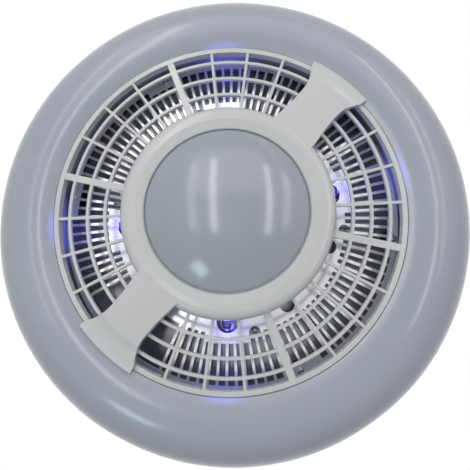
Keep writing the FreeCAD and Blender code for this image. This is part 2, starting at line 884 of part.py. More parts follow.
def dome(radius, rise, shoulder, extra):
    """A round block from the hub post's front, and extra behind it, to a dome that rises past the shoulder."""
    ball_radius = (radius * radius + rise * rise) / (rise * 2)
    ball = document.addObject("Part::Sphere", "ball")
    ball.setExpression("Radius", ball_radius.text)
    ball.setExpression("Placement.Base.z", (ball_radius - shoulder - rise).text)
    block = cylinder(radius, shoulder + rise + 1 - dims.post_top + extra, 0, 0, dims.post_top - extra)
    overlap = document.addObject("Part::MultiCommon", "overlap")
    overlap.Shapes = [ball, block]
    return overlap


# front guard
def make_front_guard():
    body = new_body("front_guard")

    # the two arms with their flared wings, which are dished for the thumbs
    arms = level(body, dims.arm_blank_front, dims.arm_turn)
    wing_x = root(dims.wing_radius * dims.wing_radius - dims.wing_half * dims.wing_half)
    flare = dims.arm_flare_bend
    for side in (1, -1):
        outline(arms, [
            (dims.hub_flat_radius * side, dims.arm_root_half * side),
            (dims.arm_neck_start * side, dims.arm_neck_half * side),
            (dims.arm_neck_end * side, dims.arm_neck_half * side, flare),
            (dims.arm_flare_radius * side, dims.arm_flare_half * side),
            (wing_x * side, dims.wing_half * side, -dims.wing_radius),
            (wing_x * side, -(dims.wing_half * side)),
            (dims.arm_flare_radius * side, -(dims.arm_flare_half * side), flare),
            (dims.arm_neck_end * side, -(dims.arm_neck_half * side)),
            (dims.arm_neck_start * side, -(dims.arm_neck_half * side)),
            (dims.hub_flat_radius * side, -(dims.arm_root_half * side)),
        ])
    pad(body, arms, dims.arm_blank_front - dims.wing_back)
    face = half_section(body)
    outline(face, [
        (dims.hub_crease_radius, -dims.hub_front),
        (dims.hub_crease_radius, -(dims.arm_blank_front + 1)),
        (dims.wing_radius + 1, -(dims.arm_blank_front + 1)),
        (dims.wing_radius + 1, -dims.wing_edge_depth, dims.arm_dish_bend),
        (dims.arm_shoulder_radius, -dims.arm_shoulder_depth),
    ])
    groove(body, face)
    root_block = level(body, dims.wing_back + 1, dims.arm_turn)
    add_ribs(root_block, dims.arm_neck_half * 2)
    pad(body, root_block, dims.wing_back + 1 - dims.grille_back)

    # the hub ring with its skirt
    hub = half_section(body)
    outline(hub, [
        (dims.hub_bore, -dims.hub_roof_back),
        (dims.hub_bore, -dims.hub_bore_front),
        (dims.hub_crease_radius, -dims.hub_front),
        (dims.hub_flat_radius, -dims.hub_front, dims.hub_round),
        (dims.hub_radius, -dims.hub_edge_depth),
        (dims.hub_radius, -dims.skirt_back),
        (dims.skirt_bore, -dims.skirt_back),
        (dims.skirt_bore, -dims.skirt_roof_back),
        (dims.hub_flat_radius, -dims.hub_roof_back),
    ])
    revolve(body, hub)

    # the ribs, as bars on both sides of the hub: three runs of thin ribs and two broad ribs
    spare = (as_size(180) - dims.rib_pitch * 6 - dims.broad_pitch * 4) / 2
    first = dims.arm_turn + spare
    run = dims.rib_pitch * 2
    for index in range(3):
        thin = level(body, dims.grille_front, first + (run + dims.broad_pitch * 2) * index)
        add_ribs(thin, dims.rib_width)
        repeat(body, pad(body, thin, dims.grille_front - dims.grille_back), 3, run)
    for index in range(2):
        turn = first + run + dims.broad_pitch + (run + dims.broad_pitch * 2) * index
        broad = level(body, dims.grille_front, turn)
        add_ribs(broad, dims.broad_rib_width)
        pad(body, broad, dims.grille_front - dims.grille_back)

    # the three rings and the rim
    rings = half_section(body)
    half = dims.ring_width / 2
    for ring in (dims.ring_one, dims.ring_two, dims.ring_three):
        rectangle(rings, ring - half, ring + half, -dims.grille_front, -dims.grille_back)
    rectangle(rings, dims.rim_inner, dims.rim_outer, -dims.rim_front, -dims.rim_back)
    revolve(body, rings)

    # the twist lugs inside the skirt
    lug = level(body, dims.lug_front)
    sector(lug, dims.lug_inner, dims.skirt_bore + 0.4, dims.lug_angle / 2)
    repeat(body, pad(body, lug, dims.lug_front - dims.lug_back), CATCH_COUNT)


def add_ribs(sketch, width):
    inner = dims.skirt_bore + 0.8
    outer = dims.rim_inner + 0.8
    rectangle(sketch, inner, outer, -width / 2, width / 2)
    rectangle(sketch, -outer, -inner, -width / 2, width / 2)


# driver electronics behind the tray
def box(length, width, height, x, y, depth):
    """A block centred on x and y whose side towards the lampholder is at the given depth."""
    item = document.addObject("Part::Box", "box")
    for path, size in (("Length", length), ("Width", width), ("Height", height)):
        item.setExpression(path, as_size(size).text)
    item.setExpression("Placement.Base.x", (as_size(x) - as_size(length) / 2).text)
    item.setExpression("Placement.Base.y", (as_size(y) - as_size(width) / 2).text)
    item.setExpression("Placement.Base.z", (-(as_size(depth) + height)).text)
    return item


def cylinder(radius, height, x, y, depth, lying=False):
    """A cylinder whose end towards the lampholder is at the given depth, or one that lies along X."""
    item = document.addObject("Part::Cylinder", "cylinder")
    item.setExpression("Radius", as_size(radius).text)
    item.setExpression("Height", as_size(height).text)
    if lying:
        item.Placement.Rotation = Rotation(Vector(0, 1, 0), 90)
        item.setExpression("Placement.Base.x", (as_size(x) - as_size(height) / 2).text)
        item.setExpression("Placement.Base.z", (-(as_size(depth) + radius)).text)
    else:
        item.setExpression("Placement.Base.x", as_size(x).text)
        item.setExpression("Placement.Base.z", (-(as_size(depth) + height)).text)
    item.setExpression("Placement.Base.y", as_size(y).text)
    return item


def cut_away(base, tool):
    item = document.addObject("Part::Cut", "cut")
    item.Base = base
    item.Tool = tool
    return item


def fuse(items):
    item = document.addObject("Part::MultiFuse", "fuse")
    item.Shapes = items
    return item


def make_driver():
    body = new_body("driver_board")
    sketch = level(body, dims.driver_back + dims.driver_thickness)
    circle(sketch, dims.driver_radius)
    for index in range(PILLAR_COUNT):
        angle = 360.0 / PILLAR_COUNT * index
        circle(sketch, dims.plate_hole, dims.pillar_ring * cosine(angle), dims.pillar_ring * sine(angle))
    pad(body, sketch, dims.driver_thickness)

    x, y = -11, 6
    top = dims.driver_back - dims.core_height
    window = dims.core_length / 2 - dims.core_limb * 1.5
    blank = box(dims.core_length, dims.core_width, dims.core_height, x, y, top)
    offset = window / 2 + dims.core_limb / 2
    inside = dims.core_height - dims.core_limb * 2
    windows = [
        box(window, dims.core_width + 2, inside, x + offset.value * side, y, top + dims.core_limb)
        for side in (1, -1)
    ]
    keep(cut_away(blank, fuse(windows)), "transformer_core")
    spread = window * 2 + dims.core_limb
    coil = box(spread, dims.core_width + 3, inside, x, y, top + dims.core_limb)
    limb = box(dims.core_limb, dims.core_width, inside + 2, x, y, top + dims.core_limb - 1)
    keep(cut_away(coil, limb), "transformer_coil")

    can = cylinder(dims.can_radius, dims.can_height, 10, 12, dims.driver_back - dims.can_height)
    keep(can, "smoothing_capacitor")
    film = box(dims.film_length, dims.film_width, dims.film_height, 15, -3, dims.driver_back - dims.film_height)
    keep(film, "film_capacitor")
    bridge_top = dims.driver_back - dims.bridge_height
    keep(box(dims.bridge_length, dims.bridge_width, dims.bridge_height, 8, -13, bridge_top), "bridge_rectifier")
    multiplier_top = dims.driver_back - dims.multiplier_height
    multiplier = box(
        dims.multiplier_length, dims.multiplier_width, dims.multiplier_height, -8, -15, multiplier_top
    )
    keep(multiplier, "voltage_multiplier")
    fuse_top = dims.driver_back - dims.fuse_radius * 2
    keep(cylinder(dims.fuse_radius, dims.fuse_length, 0, -23, fuse_top, lying=True), "fuse_resistor")


def make_all_screws():
    front = dims.front_plate_back + dims.plate_thickness
    rear = dims.rear_plate_back + dims.plate_thickness
    entries = []
    for turn in POST_TURNS:
        entries.append((dims.post_ring, turn, front + 1.2, 1.2, as_size(1.7), front - 6, -1))
    for turn in PLATE_SCREW_TURNS:
        entries.append((dims.plate_screw_ring, turn, rear + 1.2, 1.2, as_size(1.9), dims.tray_back + 0.8, -1))
    make_screws("electrode_screws", entries)

    housing = []
    for index in range(BOSS_COUNT):
        turn = dims.boss_turn + 360.0 / BOSS_COUNT * index
        seat = dims.back_edge_depth - dims.wall / 2
        housing.append((dims.boss_ring, turn, seat - 1.8, 1.8, as_size(2.6), dims.tray_front + 1.4, 1))
    make_screws("housing_screws", housing)

    board = []
    for index in range(PILLAR_COUNT):
        turn = as_size(360.0 / PILLAR_COUNT * index)
        board.append((dims.pillar_ring, turn, dims.driver_back - 1.4, 1.4, as_size(2.2), dims.tray_back - 3, 1))
    make_screws("board_screws", board)


def make_parts():
    make_centre_contact()
    make_cap_insulator()
    make_screw_shell()
    make_rear_housing()
    make_driver()
    make_chamber_tray()
    make_ring_led_board()
    make_lights("ring_leds", dims.tray_front + dims.board_thickness, [(dims.light_ring, RING_LIGHT_COUNT)])
    make_ring_diffuser()
    make_chamber_wall()
    make_rear_electrode()
    make_front_electrode()
    make_insulator_posts()
    make_hub_post()
    make_uv_led_board()
    make_uv_leds()
    make_centre_led_board()
    centre_rings = [(dims.inner_light_ring, INNER_LIGHT_COUNT), (dims.outer_light_ring, OUTER_LIGHT_COUNT)]
    make_lights("centre_leds", dims.post_top + dims.centre_board_thickness, centre_rings)
    make_centre_lens()
    make_all_screws()
    make_front_guard()


def write_parts():
    document.recompute()
    for item in document.Objects:
        if "Invalid" in item.State or "Error" in item.State:
            raise RuntimeError(f"{item.Label} failed: {item.State}")
    for piece in pieces:
        shape = piece.Shape
        if shape.isNull() or not shape.isValid() or not shape.Solids:
            raise RuntimeError(f"{piece.Label} has no valid solid")
    os.makedirs("parts", exist_ok=True)
    for piece in pieces:
        piece.Shape.exportStep(f"parts/{piece.Label}.step")
        print(piece.Label, len(piece.Shape.Solids), round(piece.Shape.Volume, 1))


make_parts()
write_parts()
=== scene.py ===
import math
from collections import namedtuple

import bmesh
import bpy
from bpy.props import FloatProperty, FloatVectorProperty, PointerProperty, StringProperty
from bpy.types import Operator, Panel, PropertyGroup
from mathutils import Matrix, Vector


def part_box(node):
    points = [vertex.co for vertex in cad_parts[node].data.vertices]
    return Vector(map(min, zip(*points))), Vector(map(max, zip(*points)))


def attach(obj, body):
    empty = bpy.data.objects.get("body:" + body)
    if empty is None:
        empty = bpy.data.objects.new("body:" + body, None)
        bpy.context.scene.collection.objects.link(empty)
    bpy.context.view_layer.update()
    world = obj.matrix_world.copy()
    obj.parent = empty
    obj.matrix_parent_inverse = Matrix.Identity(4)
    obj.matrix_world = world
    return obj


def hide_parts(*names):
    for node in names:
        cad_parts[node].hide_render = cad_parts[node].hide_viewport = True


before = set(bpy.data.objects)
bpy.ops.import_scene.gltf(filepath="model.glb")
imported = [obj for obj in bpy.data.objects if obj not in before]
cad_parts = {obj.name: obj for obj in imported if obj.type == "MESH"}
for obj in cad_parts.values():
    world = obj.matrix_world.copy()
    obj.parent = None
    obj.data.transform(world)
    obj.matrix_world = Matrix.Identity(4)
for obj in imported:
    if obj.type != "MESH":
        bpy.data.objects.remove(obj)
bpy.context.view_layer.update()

bl_info = {
    "name": "Insect killer bulb",
    "version": (1, 0, 0),
    "blender": (4, 5, 0),
    "location": "3D View > Sidebar > Bulb",
    "description": "Dresses a ceiling insect killer bulb and sets it in a white studio",
    "category": "Object",
}

MM = 0.001
BULB = "bulb"
LAMP_NODES = ("uv_led_1", "uv_led_2", "uv_led_3", "uv_led_4")
POST_NODES = ("insulator_post_1", "insulator_post_2", "insulator_post_3", "insulator_post_4")
WALL_RADIUS = 86 * MM
OPENING_RADIUS = 84.6 * MM
OPENING_DEPTH = 104.5 * MM
MERGE_DISTANCE = 1e-7
# a colour Mix node's sockets share their names with others, so they go by number
MIX_SHARE, MIX_LOW, MIX_HIGH, MIX_COLOUR = 0, 6, 7, 2

Finish = namedtuple("Finish", "low high patch rough grain values detail edge", defaults=(3.0, 0))


def plated(low, high):
    """A plated or tinned metal: bright, with a faint cloudy bloom from the bath."""
    return Finish(low, high, 3, (0.18, 0.36, 4), (0.6, 0.008), {"Metallic": 1.0}, 4.0)


def plain(low, high, smooth, rough, patch, size, depth, ior=1.5):
    """A moulded, cast or fired finish, whose sheen changes twice in each patch."""
    return Finish(low, high, patch, (smooth, rough, patch / 2), (size, depth), {"IOR": ior})


# sizes in millimetres; the finest grains are drawn coarse enough to show
FINISHES = {
    # injection-moulded: a fine spark-eroded grain breaks its sheen into a soft satin
    "white satin ABS": Finish(
        None, "#D3D3D4", 40, (0.18, 0.22, 20), (1.2, 0.006),
        {"IOR": 1.53, "Subsurface Weight": 0.06, "Subsurface Radius": (0.002, 0.002, 0.002)},
        0.0, 0.6),
    # the back's ABS is duller and coarser, with a trace of dust
    "textured white ABS": Finish(
        None, "#DFDEDA", 35, (0.42, 0.55, 14), (0.8, 0.012), {"IOR": 1.53}, 5.0, 0.8),
    # moulded and polished: blue-grey when unlit, with clear reflections
    "polished opal polycarbonate": Finish(
        None, "#A4ABB3", 40, 0.17, (9, 0.02),
        {"IOR": 1.58, "Coat Weight": 0.3, "Coat Roughness": 0.1}),
    # polished sheet: a soft mirror, a little wavy, with a few dull smears
    "polished steel": Finish(
        None, "#7F8185", 25, (0.12, 0.24, 12), (14, 0.06, 1.0), {"Metallic": 0.6}),
    # cast clear with a violet tint: it shows the lead frame and the lit die inside
    "violet-tinted epoxy": Finish(
        "#8C86F5", "#B9B2FF", 2, 0.04, (3, 0.02), {"IOR": 1.54, "Transmission Weight": 0.85}),
    # yellow phosphor under clear silicone: a glossy egg-yolk window
    "phosphor silicone": Finish(
        "#F6DE86", "#F2D36A", 0.8, 0.2, (0.5, 0.02), {"IOR": 1.41, "Coat Weight": 0.4}),
    # drawn wire in a clear amber enamel: bright, warm and a little uneven
    "enamelled copper wire": Finish(
        "#B5652B", "#C97B3B", 1.5, (0.2, 0.32, 1), None, {"Metallic": 0.9, "Coat Weight": 0.6}),
    # dipped in tin: a warm and slightly dull silver
    "tinned contact": plated("#D2CFC8", "#B9B5AB"),
    # nickel over rolled brass: a bright grey with a little yellow in it
    "nickel-plated brass shell": plated("#C9C6BF", "#B5B1A8"),
    # zinc from the bath: a cool, bright grey
    "zinc-plated steel": plated("#C7C9CC", "#AEB1B5"),
    # melted and frozen: a clean silver, cloudy where it set last
    "lead-free solder": plated("#C9CACB", "#AFB0B2"),
    # tin over a punched frame: bright and colourless
    "tinned lead frame": plated("#CFCFCB", "#B4B4B0"),
    # thin silver plate: the whitest of the metals here
    "silver-plated tabs": plated("#D5D4D0", "#BDBBB5"),
    # pressed hard and dense, so its black is deep and glossy
    "black phenolic": plain("#141416", "#1E1E21", 0.12, 0.25, 6, 1, 0.01, 1.6),
    # moulded on a spark-eroded face: a dull and even black
    "black flame-retardant ABS": plain("#17181B", "#202226", 0.4, 0.55, 20, 0.7, 0.015),
    # moulded smoother: a blue-black with a low sheen
    "dark moulded ABS": plain("#171B29", "#20263A", 0.3, 0.45, 12, 0.6, 0.01),
    # moulded and waxy: a black that never quite shines
    "black nylon": plain("#1F2023", "#2A2B2F", 0.35, 0.5, 4, 0.5, 0.01),
    # pressed and fired powder: charcoal grey with a gritty face
    "sintered ferrite": plain("#2B2B2C", "#3A3A3B", 0.35, 0.6, 2, 0.3, 0.02),
    # wound film: a glossy yellow with soft wrinkles
    "yellow polyester tape": plain("#D9B233", "#E3C252", 0.2, 0.35, 5, 1.5, 0.03),
    # shrunk tight round its can: a smooth and shiny navy
    "dark blue shrink sleeve": plain("#15233F", "#1E2F55", 0.15, 0.3, 5, 2, 0.02),
    # dipped and drained: a glossy brick red, slightly lumpy
    "red dipped epoxy": plain("#8E2A1F", "#A33A2A", 0.12, 0.25, 3, 1.5, 0.03),
    # moulded with silica in it: a dull and grainy black
    "black moulded epoxy": plain("#1B1B1D", "#27272A", 0.4, 0.55, 2, 0.3, 0.01),
    # poured: shiny in places and dull in others
    "black potting compound": plain("#1D1C1B", "#2A2826", 0.2, 0.5, 4, 1, 0.04),
    # lacquer over a fired rod: a soft grey-green sheen
    "green lacquered ceramic": plain("#5E8E86", "#76A39A", 0.3, 0.45, 2, 0.5, 0.01),
    # the body of a white LED: a bright and slightly creamy satin
    "white moulded PPA": plain("#E9E8E2", "#DEDCD4", 0.35, 0.5, 1, 0.3, 0.005),
    # cured silicone rubber: a soft grey with hardly any shine
    "grey silicone": plain("#A3A8AC", "#AEB2B6", 0.4, 0.55, 6, 0.5, 0.01, 1.41),
    # extruded over wire: a smooth and even red, black or white
    "red PVC": plain("#A51E1E", "#B52A24", 0.35, 0.5, 4, 0.6, 0.005),
    "black PVC": plain("#17171A", "#232326", 0.35, 0.5, 4, 0.6, 0.005),
    "white PVC": plain("#E2E1DC", "#D5D4CE", 0.35, 0.5, 4, 0.6, 0.005),
}

# the solids whose finish has a fixed colour
PLAIN_SOLIDS = {
    "centre_contact": "tinned contact",
    "cap_insulator": "black phenolic",
    "chamber_tray": "black flame-retardant ABS",
    "hub_post": "dark moulded ABS",
    "transformer_core": "sintered ferrite",
    "transformer_coil": "yellow polyester tape",
    "smoothing_capacitor": "dark blue shrink sleeve",
    "film_capacitor": "red dipped epoxy",
    "bridge_rectifier": "black moulded epoxy",
    "voltage_multiplier": "black potting compound",
    "fuse_resistor": "green lacquered ceramic",
}


# nodes and colours
def tint(code):
    """An sRGB hex colour as the linear values that Blender's sockets take."""
    channels = [int(code[i:i + 2], 16) / 255 for i in (1, 3, 5)]
    straight = [c / 12.92 if c <= 0.04045 else ((c + 0.055) / 1.055) ** 2.4 for c in channels]
    return (*straight, 1.0)


def fill(tree, node, inputs):
    """Sets a node's inputs, each to a plain value or to another node's output."""
    for key, value in inputs.items():
        socket = node.inputs[key]
        if isinstance(value, bpy.types.NodeSocket):
            tree.links.new(value, socket)
        else:
            socket.default_value = value


def add(tree, kind, inputs=None, **settings):
    """Adds a node with its settings and inputs."""
    node = tree.nodes.new(kind)
    for name, value in settings.items():
        setattr(node, name, value)
    fill(tree, node, inputs or {})
    return node


def empty_tree(owner):
    """The cleared node tree of a material or world."""
    owner.use_nodes = True
    owner.node_tree.nodes.clear()
    return owner.node_tree


def new_material(name):
    """A material with its shader and the coordinates that its patterns read."""
    material = bpy.data.materials.new(name)
    tree = empty_tree(material)
    shader = add(tree, "ShaderNodeBsdfPrincipled")
    add(tree, "ShaderNodeOutputMaterial", {"Surface": shader.outputs["BSDF"]})
    place = add(tree, "ShaderNodeTexCoord").outputs["Object"]
    return material, tree, shader, place


def spread(tree, place, size, low, high, detail=4.0):
    """A value that wanders between two others over patches of a real size, in metres."""
    noise = add(tree, "ShaderNodeTexNoise", {"Vector": place, "Scale": 1 / size, "Detail": detail})
    return add(tree, "ShaderNodeMapRange", {
        "Value": noise.outputs["Fac"], "From Min": 0.3, "From Max": 0.7,
        "To Min": low, "To Max": high,
    }).outputs["Result"]


def mottle(tree, place, size, low, high, detail=3.0):
    """A soft mix of two colours in patches of a real size."""
    return add(tree, "ShaderNodeMix", {
        MIX_SHARE: spread(tree, place, size, 0.0, 1.0, detail),
        MIX_LOW: tint(low), MIX_HIGH: tint(high),
    }, data_type="RGBA").outputs[MIX_COLOUR]


def grain(tree, place, size, depth, detail=2.0):
    """A bump from noise of a real size and depth."""
    noise = add(tree, "ShaderNodeTexNoise", {"Vector": place, "Scale": 1 / size, "Detail": detail})
    bump = add(tree, "ShaderNodeBump", {"Height": noise.outputs["Fac"], "Distance": depth})
    return bump.outputs["Normal"]


def centre_of(node):
    low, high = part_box(node)
    return (Vector(low) + Vector(high)) / 2


def near_lamps(tree, place, radius, depth, reach):
    """How near a surface is to a violet lamp: 1 across from it, and 0 beyond the reach."""
    total = 0.0
    for name in LAMP_NODES:
        across = centre_of(name)
        across.z = 0.0
        spot = across.normalized() * radius - Vector((0.0, 0.0, depth))
        gap = add(tree, "ShaderNodeVectorMath", {0: place, 1: tuple(spot)}, operation="DISTANCE")
        close = add(tree, "ShaderNodeMapRange", {
            "Value": gap.outputs["Value"], "From Max": reach, "To Min": 1.0, "To Max": 0.0,
        }, interpolation_type="SMOOTHERSTEP").outputs["Result"]
        total = add(tree, "ShaderNodeMath", {0: total, 1: close}).outputs[0]
    return total


# materials
def finish(name, colour=None):
    """A material from its row, whose first colour may be the user's."""
    row = FINISHES[name]
    material, tree, shader, place = new_material(name)
    low = row.low or colour
    inputs = {
        "Base Color": mottle(tree, place, row.patch * MM, low, row.high, row.detail),
        "Roughness": row.rough,
        **row.values,
    }
    if isinstance(row.rough, tuple):
        smooth, rough, patch = row.rough
        inputs["Roughness"] = spread(tree, place, patch * MM, smooth, rough)
    if row.grain:
        size, depth, *detail = row.grain
        inputs["Normal"] = grain(tree, place, size * MM, depth * MM, *detail)
    if row.edge:
        soft = {"Radius": row.edge * MM, "Normal": inputs["Normal"]}
        inputs["Normal"] = add(tree, "ShaderNodeBevel", soft, samples=6).outputs["Normal"]
    fill(tree, shader, inputs)
    return material


def opal_ring(colour):
    """Opal polycarbonate: milky blue-grey when unlit, satin, painted darker at its lower outer edge
    as shade, and with a painted violet glow by each lamp.
    """
    material, tree, shader, place = new_material("opal polycarbonate")
    shade = mottle(tree, place, 60 * MM, colour, "#AAAFBB")
    flat = add(tree, "ShaderNodeVectorMath", {0: place, 1: (1.0, 1.0, 0.0)}, operation="MULTIPLY")
    span = add(tree, "ShaderNodeVectorMath", {0: flat.outputs["Vector"]}, operation="LENGTH")
    radius = span.outputs["Value"]
    height = add(tree, "ShaderNodeSeparateXYZ", {"Vector": place}).outputs["Z"]
    # painted shade: the lower outer edge is painted deepest in colour
    outer = add(tree, "ShaderNodeMapRange", {
        "Value": radius, "From Min": 100 * MM, "From Max": 121 * MM,
    }, interpolation_type="SMOOTHSTEP")
    lower = add(tree, "ShaderNodeMapRange", {
        "Value": height, "From Min": -86 * MM, "From Max": -99 * MM,
    }, interpolation_type="SMOOTHSTEP")
    edge = add(tree, "ShaderNodeMath", {
        0: outer.outputs["Result"], 1: lower.outputs["Result"],
    }, operation="MULTIPLY")
    painted_edge_shade = add(tree, "ShaderNodeMix", {
        MIX_SHARE: edge.outputs[0], MIX_LOW: shade, MIX_HIGH: tint("#757A92"),
    }, data_type="RGBA")
    # painted violet glow: emission along the opening's lip, across from each lamp, stands in for
    # the light that leaks out there
    painted_glow_reach = near_lamps(tree, place, OPENING_RADIUS, OPENING_DEPTH, 16 * MM)
    lip = add(tree, "ShaderNodeMapRange", {
        "Value": radius, "From Min": OPENING_RADIUS, "From Max": 88 * MM,
        "To Min": 0.4, "To Max": 0.0,
    }, interpolation_type="SMOOTHSTEP")
    painted_glow = add(tree, "ShaderNodeMath", {0: painted_glow_reach, 1: lip.outputs["Result"]}, operation="MULTIPLY")
    fill(tree, shader, {
        "Base Color": painted_edge_shade.outputs[MIX_COLOUR],
        "Roughness": spread(tree, place, 30 * MM, 0.2, 0.28),
        "Normal": grain(tree, place, 16 * MM, 0.05 * MM),
        "IOR": 1.58, "Specular IOR Level": 0.35, "Coat Weight": 0.35, "Coat Roughness": 0.08,
        "Emission Color": tint("#5A63FF"), "Emission Strength": painted_glow.outputs[0],
    })
    return material


def frosted_wall(colour):
    """Frosted acrylic: painted light makes it pale by the opening, painted shade makes it slate
    deeper in the chamber, and painted lamp light makes it violet by a lamp.
    """
    material, tree, shader, place = new_material("frosted acrylic")
    height = add(tree, "ShaderNodeSeparateXYZ", {"Vector": place}).outputs["Z"]
    # painted light and shade: the wall is pale by the opening and slate deeper in the chamber
    pale = add(tree, "ShaderNodeMapRange", {
        "Value": height, "From Min": -92 * MM, "From Max": -100 * MM,
    })
    unlit = add(tree, "ShaderNodeMix", {
        MIX_SHARE: pale.outputs["Result"], MIX_LOW: tint(colour), MIX_HIGH: tint("#B8BACB"),
    }, data_type="RGBA")
    # painted lamp light: near each lamp the wall is painted violet and given a faint glow
    painted_glow_reach = near_lamps(tree, place, WALL_RADIUS, 97 * MM, 26 * MM)
    shade = add(tree, "ShaderNodeMix", {
        MIX_SHARE: painted_glow_reach, MIX_LOW: unlit.outputs[MIX_COLOUR], MIX_HIGH: tint("#7F86D6"),
    }, data_type="RGBA")
    faint = add(tree, "ShaderNodeMath", {0: painted_glow_reach, 1: 0.2}, operation="MULTIPLY")
    fill(tree, shader, {
        "Base Color": shade.outputs[MIX_COLOUR],
        "Roughness": spread(tree, place, 6 * MM, 0.3, 0.42),
        "Normal": grain(tree, place, 1.2 * MM, 0.02 * MM),
        "IOR": 1.49, "Emission Color": tint("#7C82FF"), "Emission Strength": faint.outputs[0],
    })
    return material


def stamped_steel(colour):
    """Bright tin-plated steel sheet, stamped: fine roll lines in a soft, almost white sheen."""
    material, tree, shader, place = new_material("tin-plated steel")
    stretch = add(tree, "ShaderNodeMapping", {"Vector": place, "Scale": (30.0, 700.0, 30.0)})
    lines = add(tree, "ShaderNodeTexNoise", {
        "Vector": stretch.outputs["Vector"], "Scale": 1.0, "Detail": 4.0,
    }).outputs["Fac"]
    rough = add(tree, "ShaderNodeMapRange", {
        "Value": lines, "From Min": 0.3, "From Max": 0.7, "To Min": 0.16, "To Max": 0.2,
    })
    bump = add(tree, "ShaderNodeBump", {"Height": lines, "Distance": 0.0003 * MM})
    fill(tree, shader, {
        "Base Color": mottle(tree, place, 18 * MM, colour, "#F1F2F4"),
        "Roughness": rough.outputs["Result"], "Normal": bump.outputs["Normal"], "Metallic": 0.5,
    })
    return material


def circuit_board(name, mask, track):
    """Solder mask over etched copper: thin raised tracks under a glossy lacquer."""
    material, tree, shader, place = new_material(name)
    tracks = add(tree, "ShaderNodeTexBrick", {
        "Vector": place, "Color1": tint(mask), "Color2": tint(mask), "Mortar": tint(track),
        "Scale": 1.0, "Mortar Size": 0.12 * MM, "Brick Width": 5.2 * MM, "Row Height": 2.1 * MM,
    })
    bump = add(tree, "ShaderNodeBump", {"Height": tracks.outputs["Fac"], "Distance": 0.05 * MM})
    fill(tree, shader, {
        "Base Color": tracks.outputs["Color"],
        "Roughness": spread(tree, place, 5 * MM, 0.28, 0.4),
        "Normal": bump.outputs["Normal"], "IOR": 1.55,
    })
    return material


def lit_die(colour):
    """The gallium nitride die of a violet lamp: a point of light, whitest at its middle."""
    material, tree, shader, place = new_material("lit gallium nitride die")
    shade = mottle(tree, place, 0.3 * MM, colour, "#D8D2FF")
    fill(tree, shader, {
        "Base Color": shade, "Emission Color": shade, "Roughness": 0.3, "Emission Strength": 9.0,
    })
    return material


# shapes
def new_object(name, data):
    """An object that holds some data, in the scene."""
    item = bpy.data.objects.new(name, data)
    bpy.context.collection.objects.link(item)
    return item


def dress(nodes, material):
    """Gives carried-over solids their finish."""
    for node in nodes:
        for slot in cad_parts[node].material_slots:
            slot.material = material


def new_piece(name, mesh, material, replaced=()):
    """A finished mesh as a piece that rides on the bulb and may stand for solids."""
    mesh.name = name
    piece = new_object(name, mesh)
    mesh.materials.clear()
    mesh.materials.append(material)
    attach(piece, BULB)
    if replaced:
        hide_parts(*replaced)


def to_mesh(shape, name, smooth_below=0):
    """A bmesh as a mesh with outward faces, smooth where they meet below an angle (degrees)."""
    bmesh.ops.remove_doubles(shape, verts=shape.verts, dist=MERGE_DISTANCE)
    bmesh.ops.recalc_face_normals(shape, faces=shape.faces)
    if smooth_below:
        limit = math.radians(smooth_below)
        for face in shape.faces:
            face.smooth = True
        for edge in shape.edges:
            edge.smooth = len(edge.link_faces) == 2 and edge.calc_face_angle() < limit
    mesh = bpy.data.meshes.new(name)
    shape.to_mesh(mesh)
    shape.free()
    return mesh


def skin(shape, rows, flat_ends=False):
    """Quads between closed rows of points, with a flat face at each open end if asked."""
    made = [[shape.verts.new(point) for point in row] for row in rows]
    for lower, upper in zip(made, made[1:]):
        for i in range(len(lower)):
            j = (i + 1) % len(lower)
            shape.faces.new((lower[i], lower[j], upper[j], upper[i]))
    if flat_ends:
        shape.faces.new(made[0])
        shape.faces.new(made[-1])
    return made


def wavy_row(radius_at, height, count):
    """Points round Z, each as far out as its share of the turn says."""
    row = []
    for i in range(count):
        share = i / count
        angle = 2 * math.pi * share
        radius = radius_at(share)
        row.append((radius * math.cos(angle), radius * math.sin(angle), height))
    return row


def ring_row(radius, height, count):
    return wavy_row(lambda share: radius, height, count)


def lathe(profile, count, shape=None):
    """A solid of revolution about Z from (radius, height) pairs, closed flat at both ends."""
    shape = shape or bmesh.new()
    skin(shape, [ring_row(radius, height, count) for radius, height in profile], flat_ends=True)
    return shape


def block(shape, low, high):
    """A box inside a larger shape, from its two corners."""
    x0, y0, z0 = low
    x1, y1, z1 = high
    rows = [[(x0, y0, z), (x1, y0, z), (x1, y1, z), (x0, y1, z)] for z in (z0, z1)]
    skin(shape, rows, flat_ends=True)


def islands(node):
    """The lowest and highest corner of each separate solid of a node, in its mesh's order."""
    shape = bmesh.new()
    shape.from_mesh(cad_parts[node].data)
    bmesh.ops.remove_doubles(shape, verts=shape.verts, dist=MERGE_DISTANCE)
    done = set()
    boxes = []
    for first in shape.verts:
        waiting = [first]
        corners = []
        while waiting:
            vert = waiting.pop()
            if vert not in done:
                done.add(vert)
                corners.append(vert.co.copy())
                waiting += [link.other_vert(vert) for link in vert.link_edges]
        if corners:
            sides = list(zip(*corners))
            boxes.append((Vector(min(side) for side in sides), Vector(max(side) for side in sides)))
    shape.free()
    return boxes


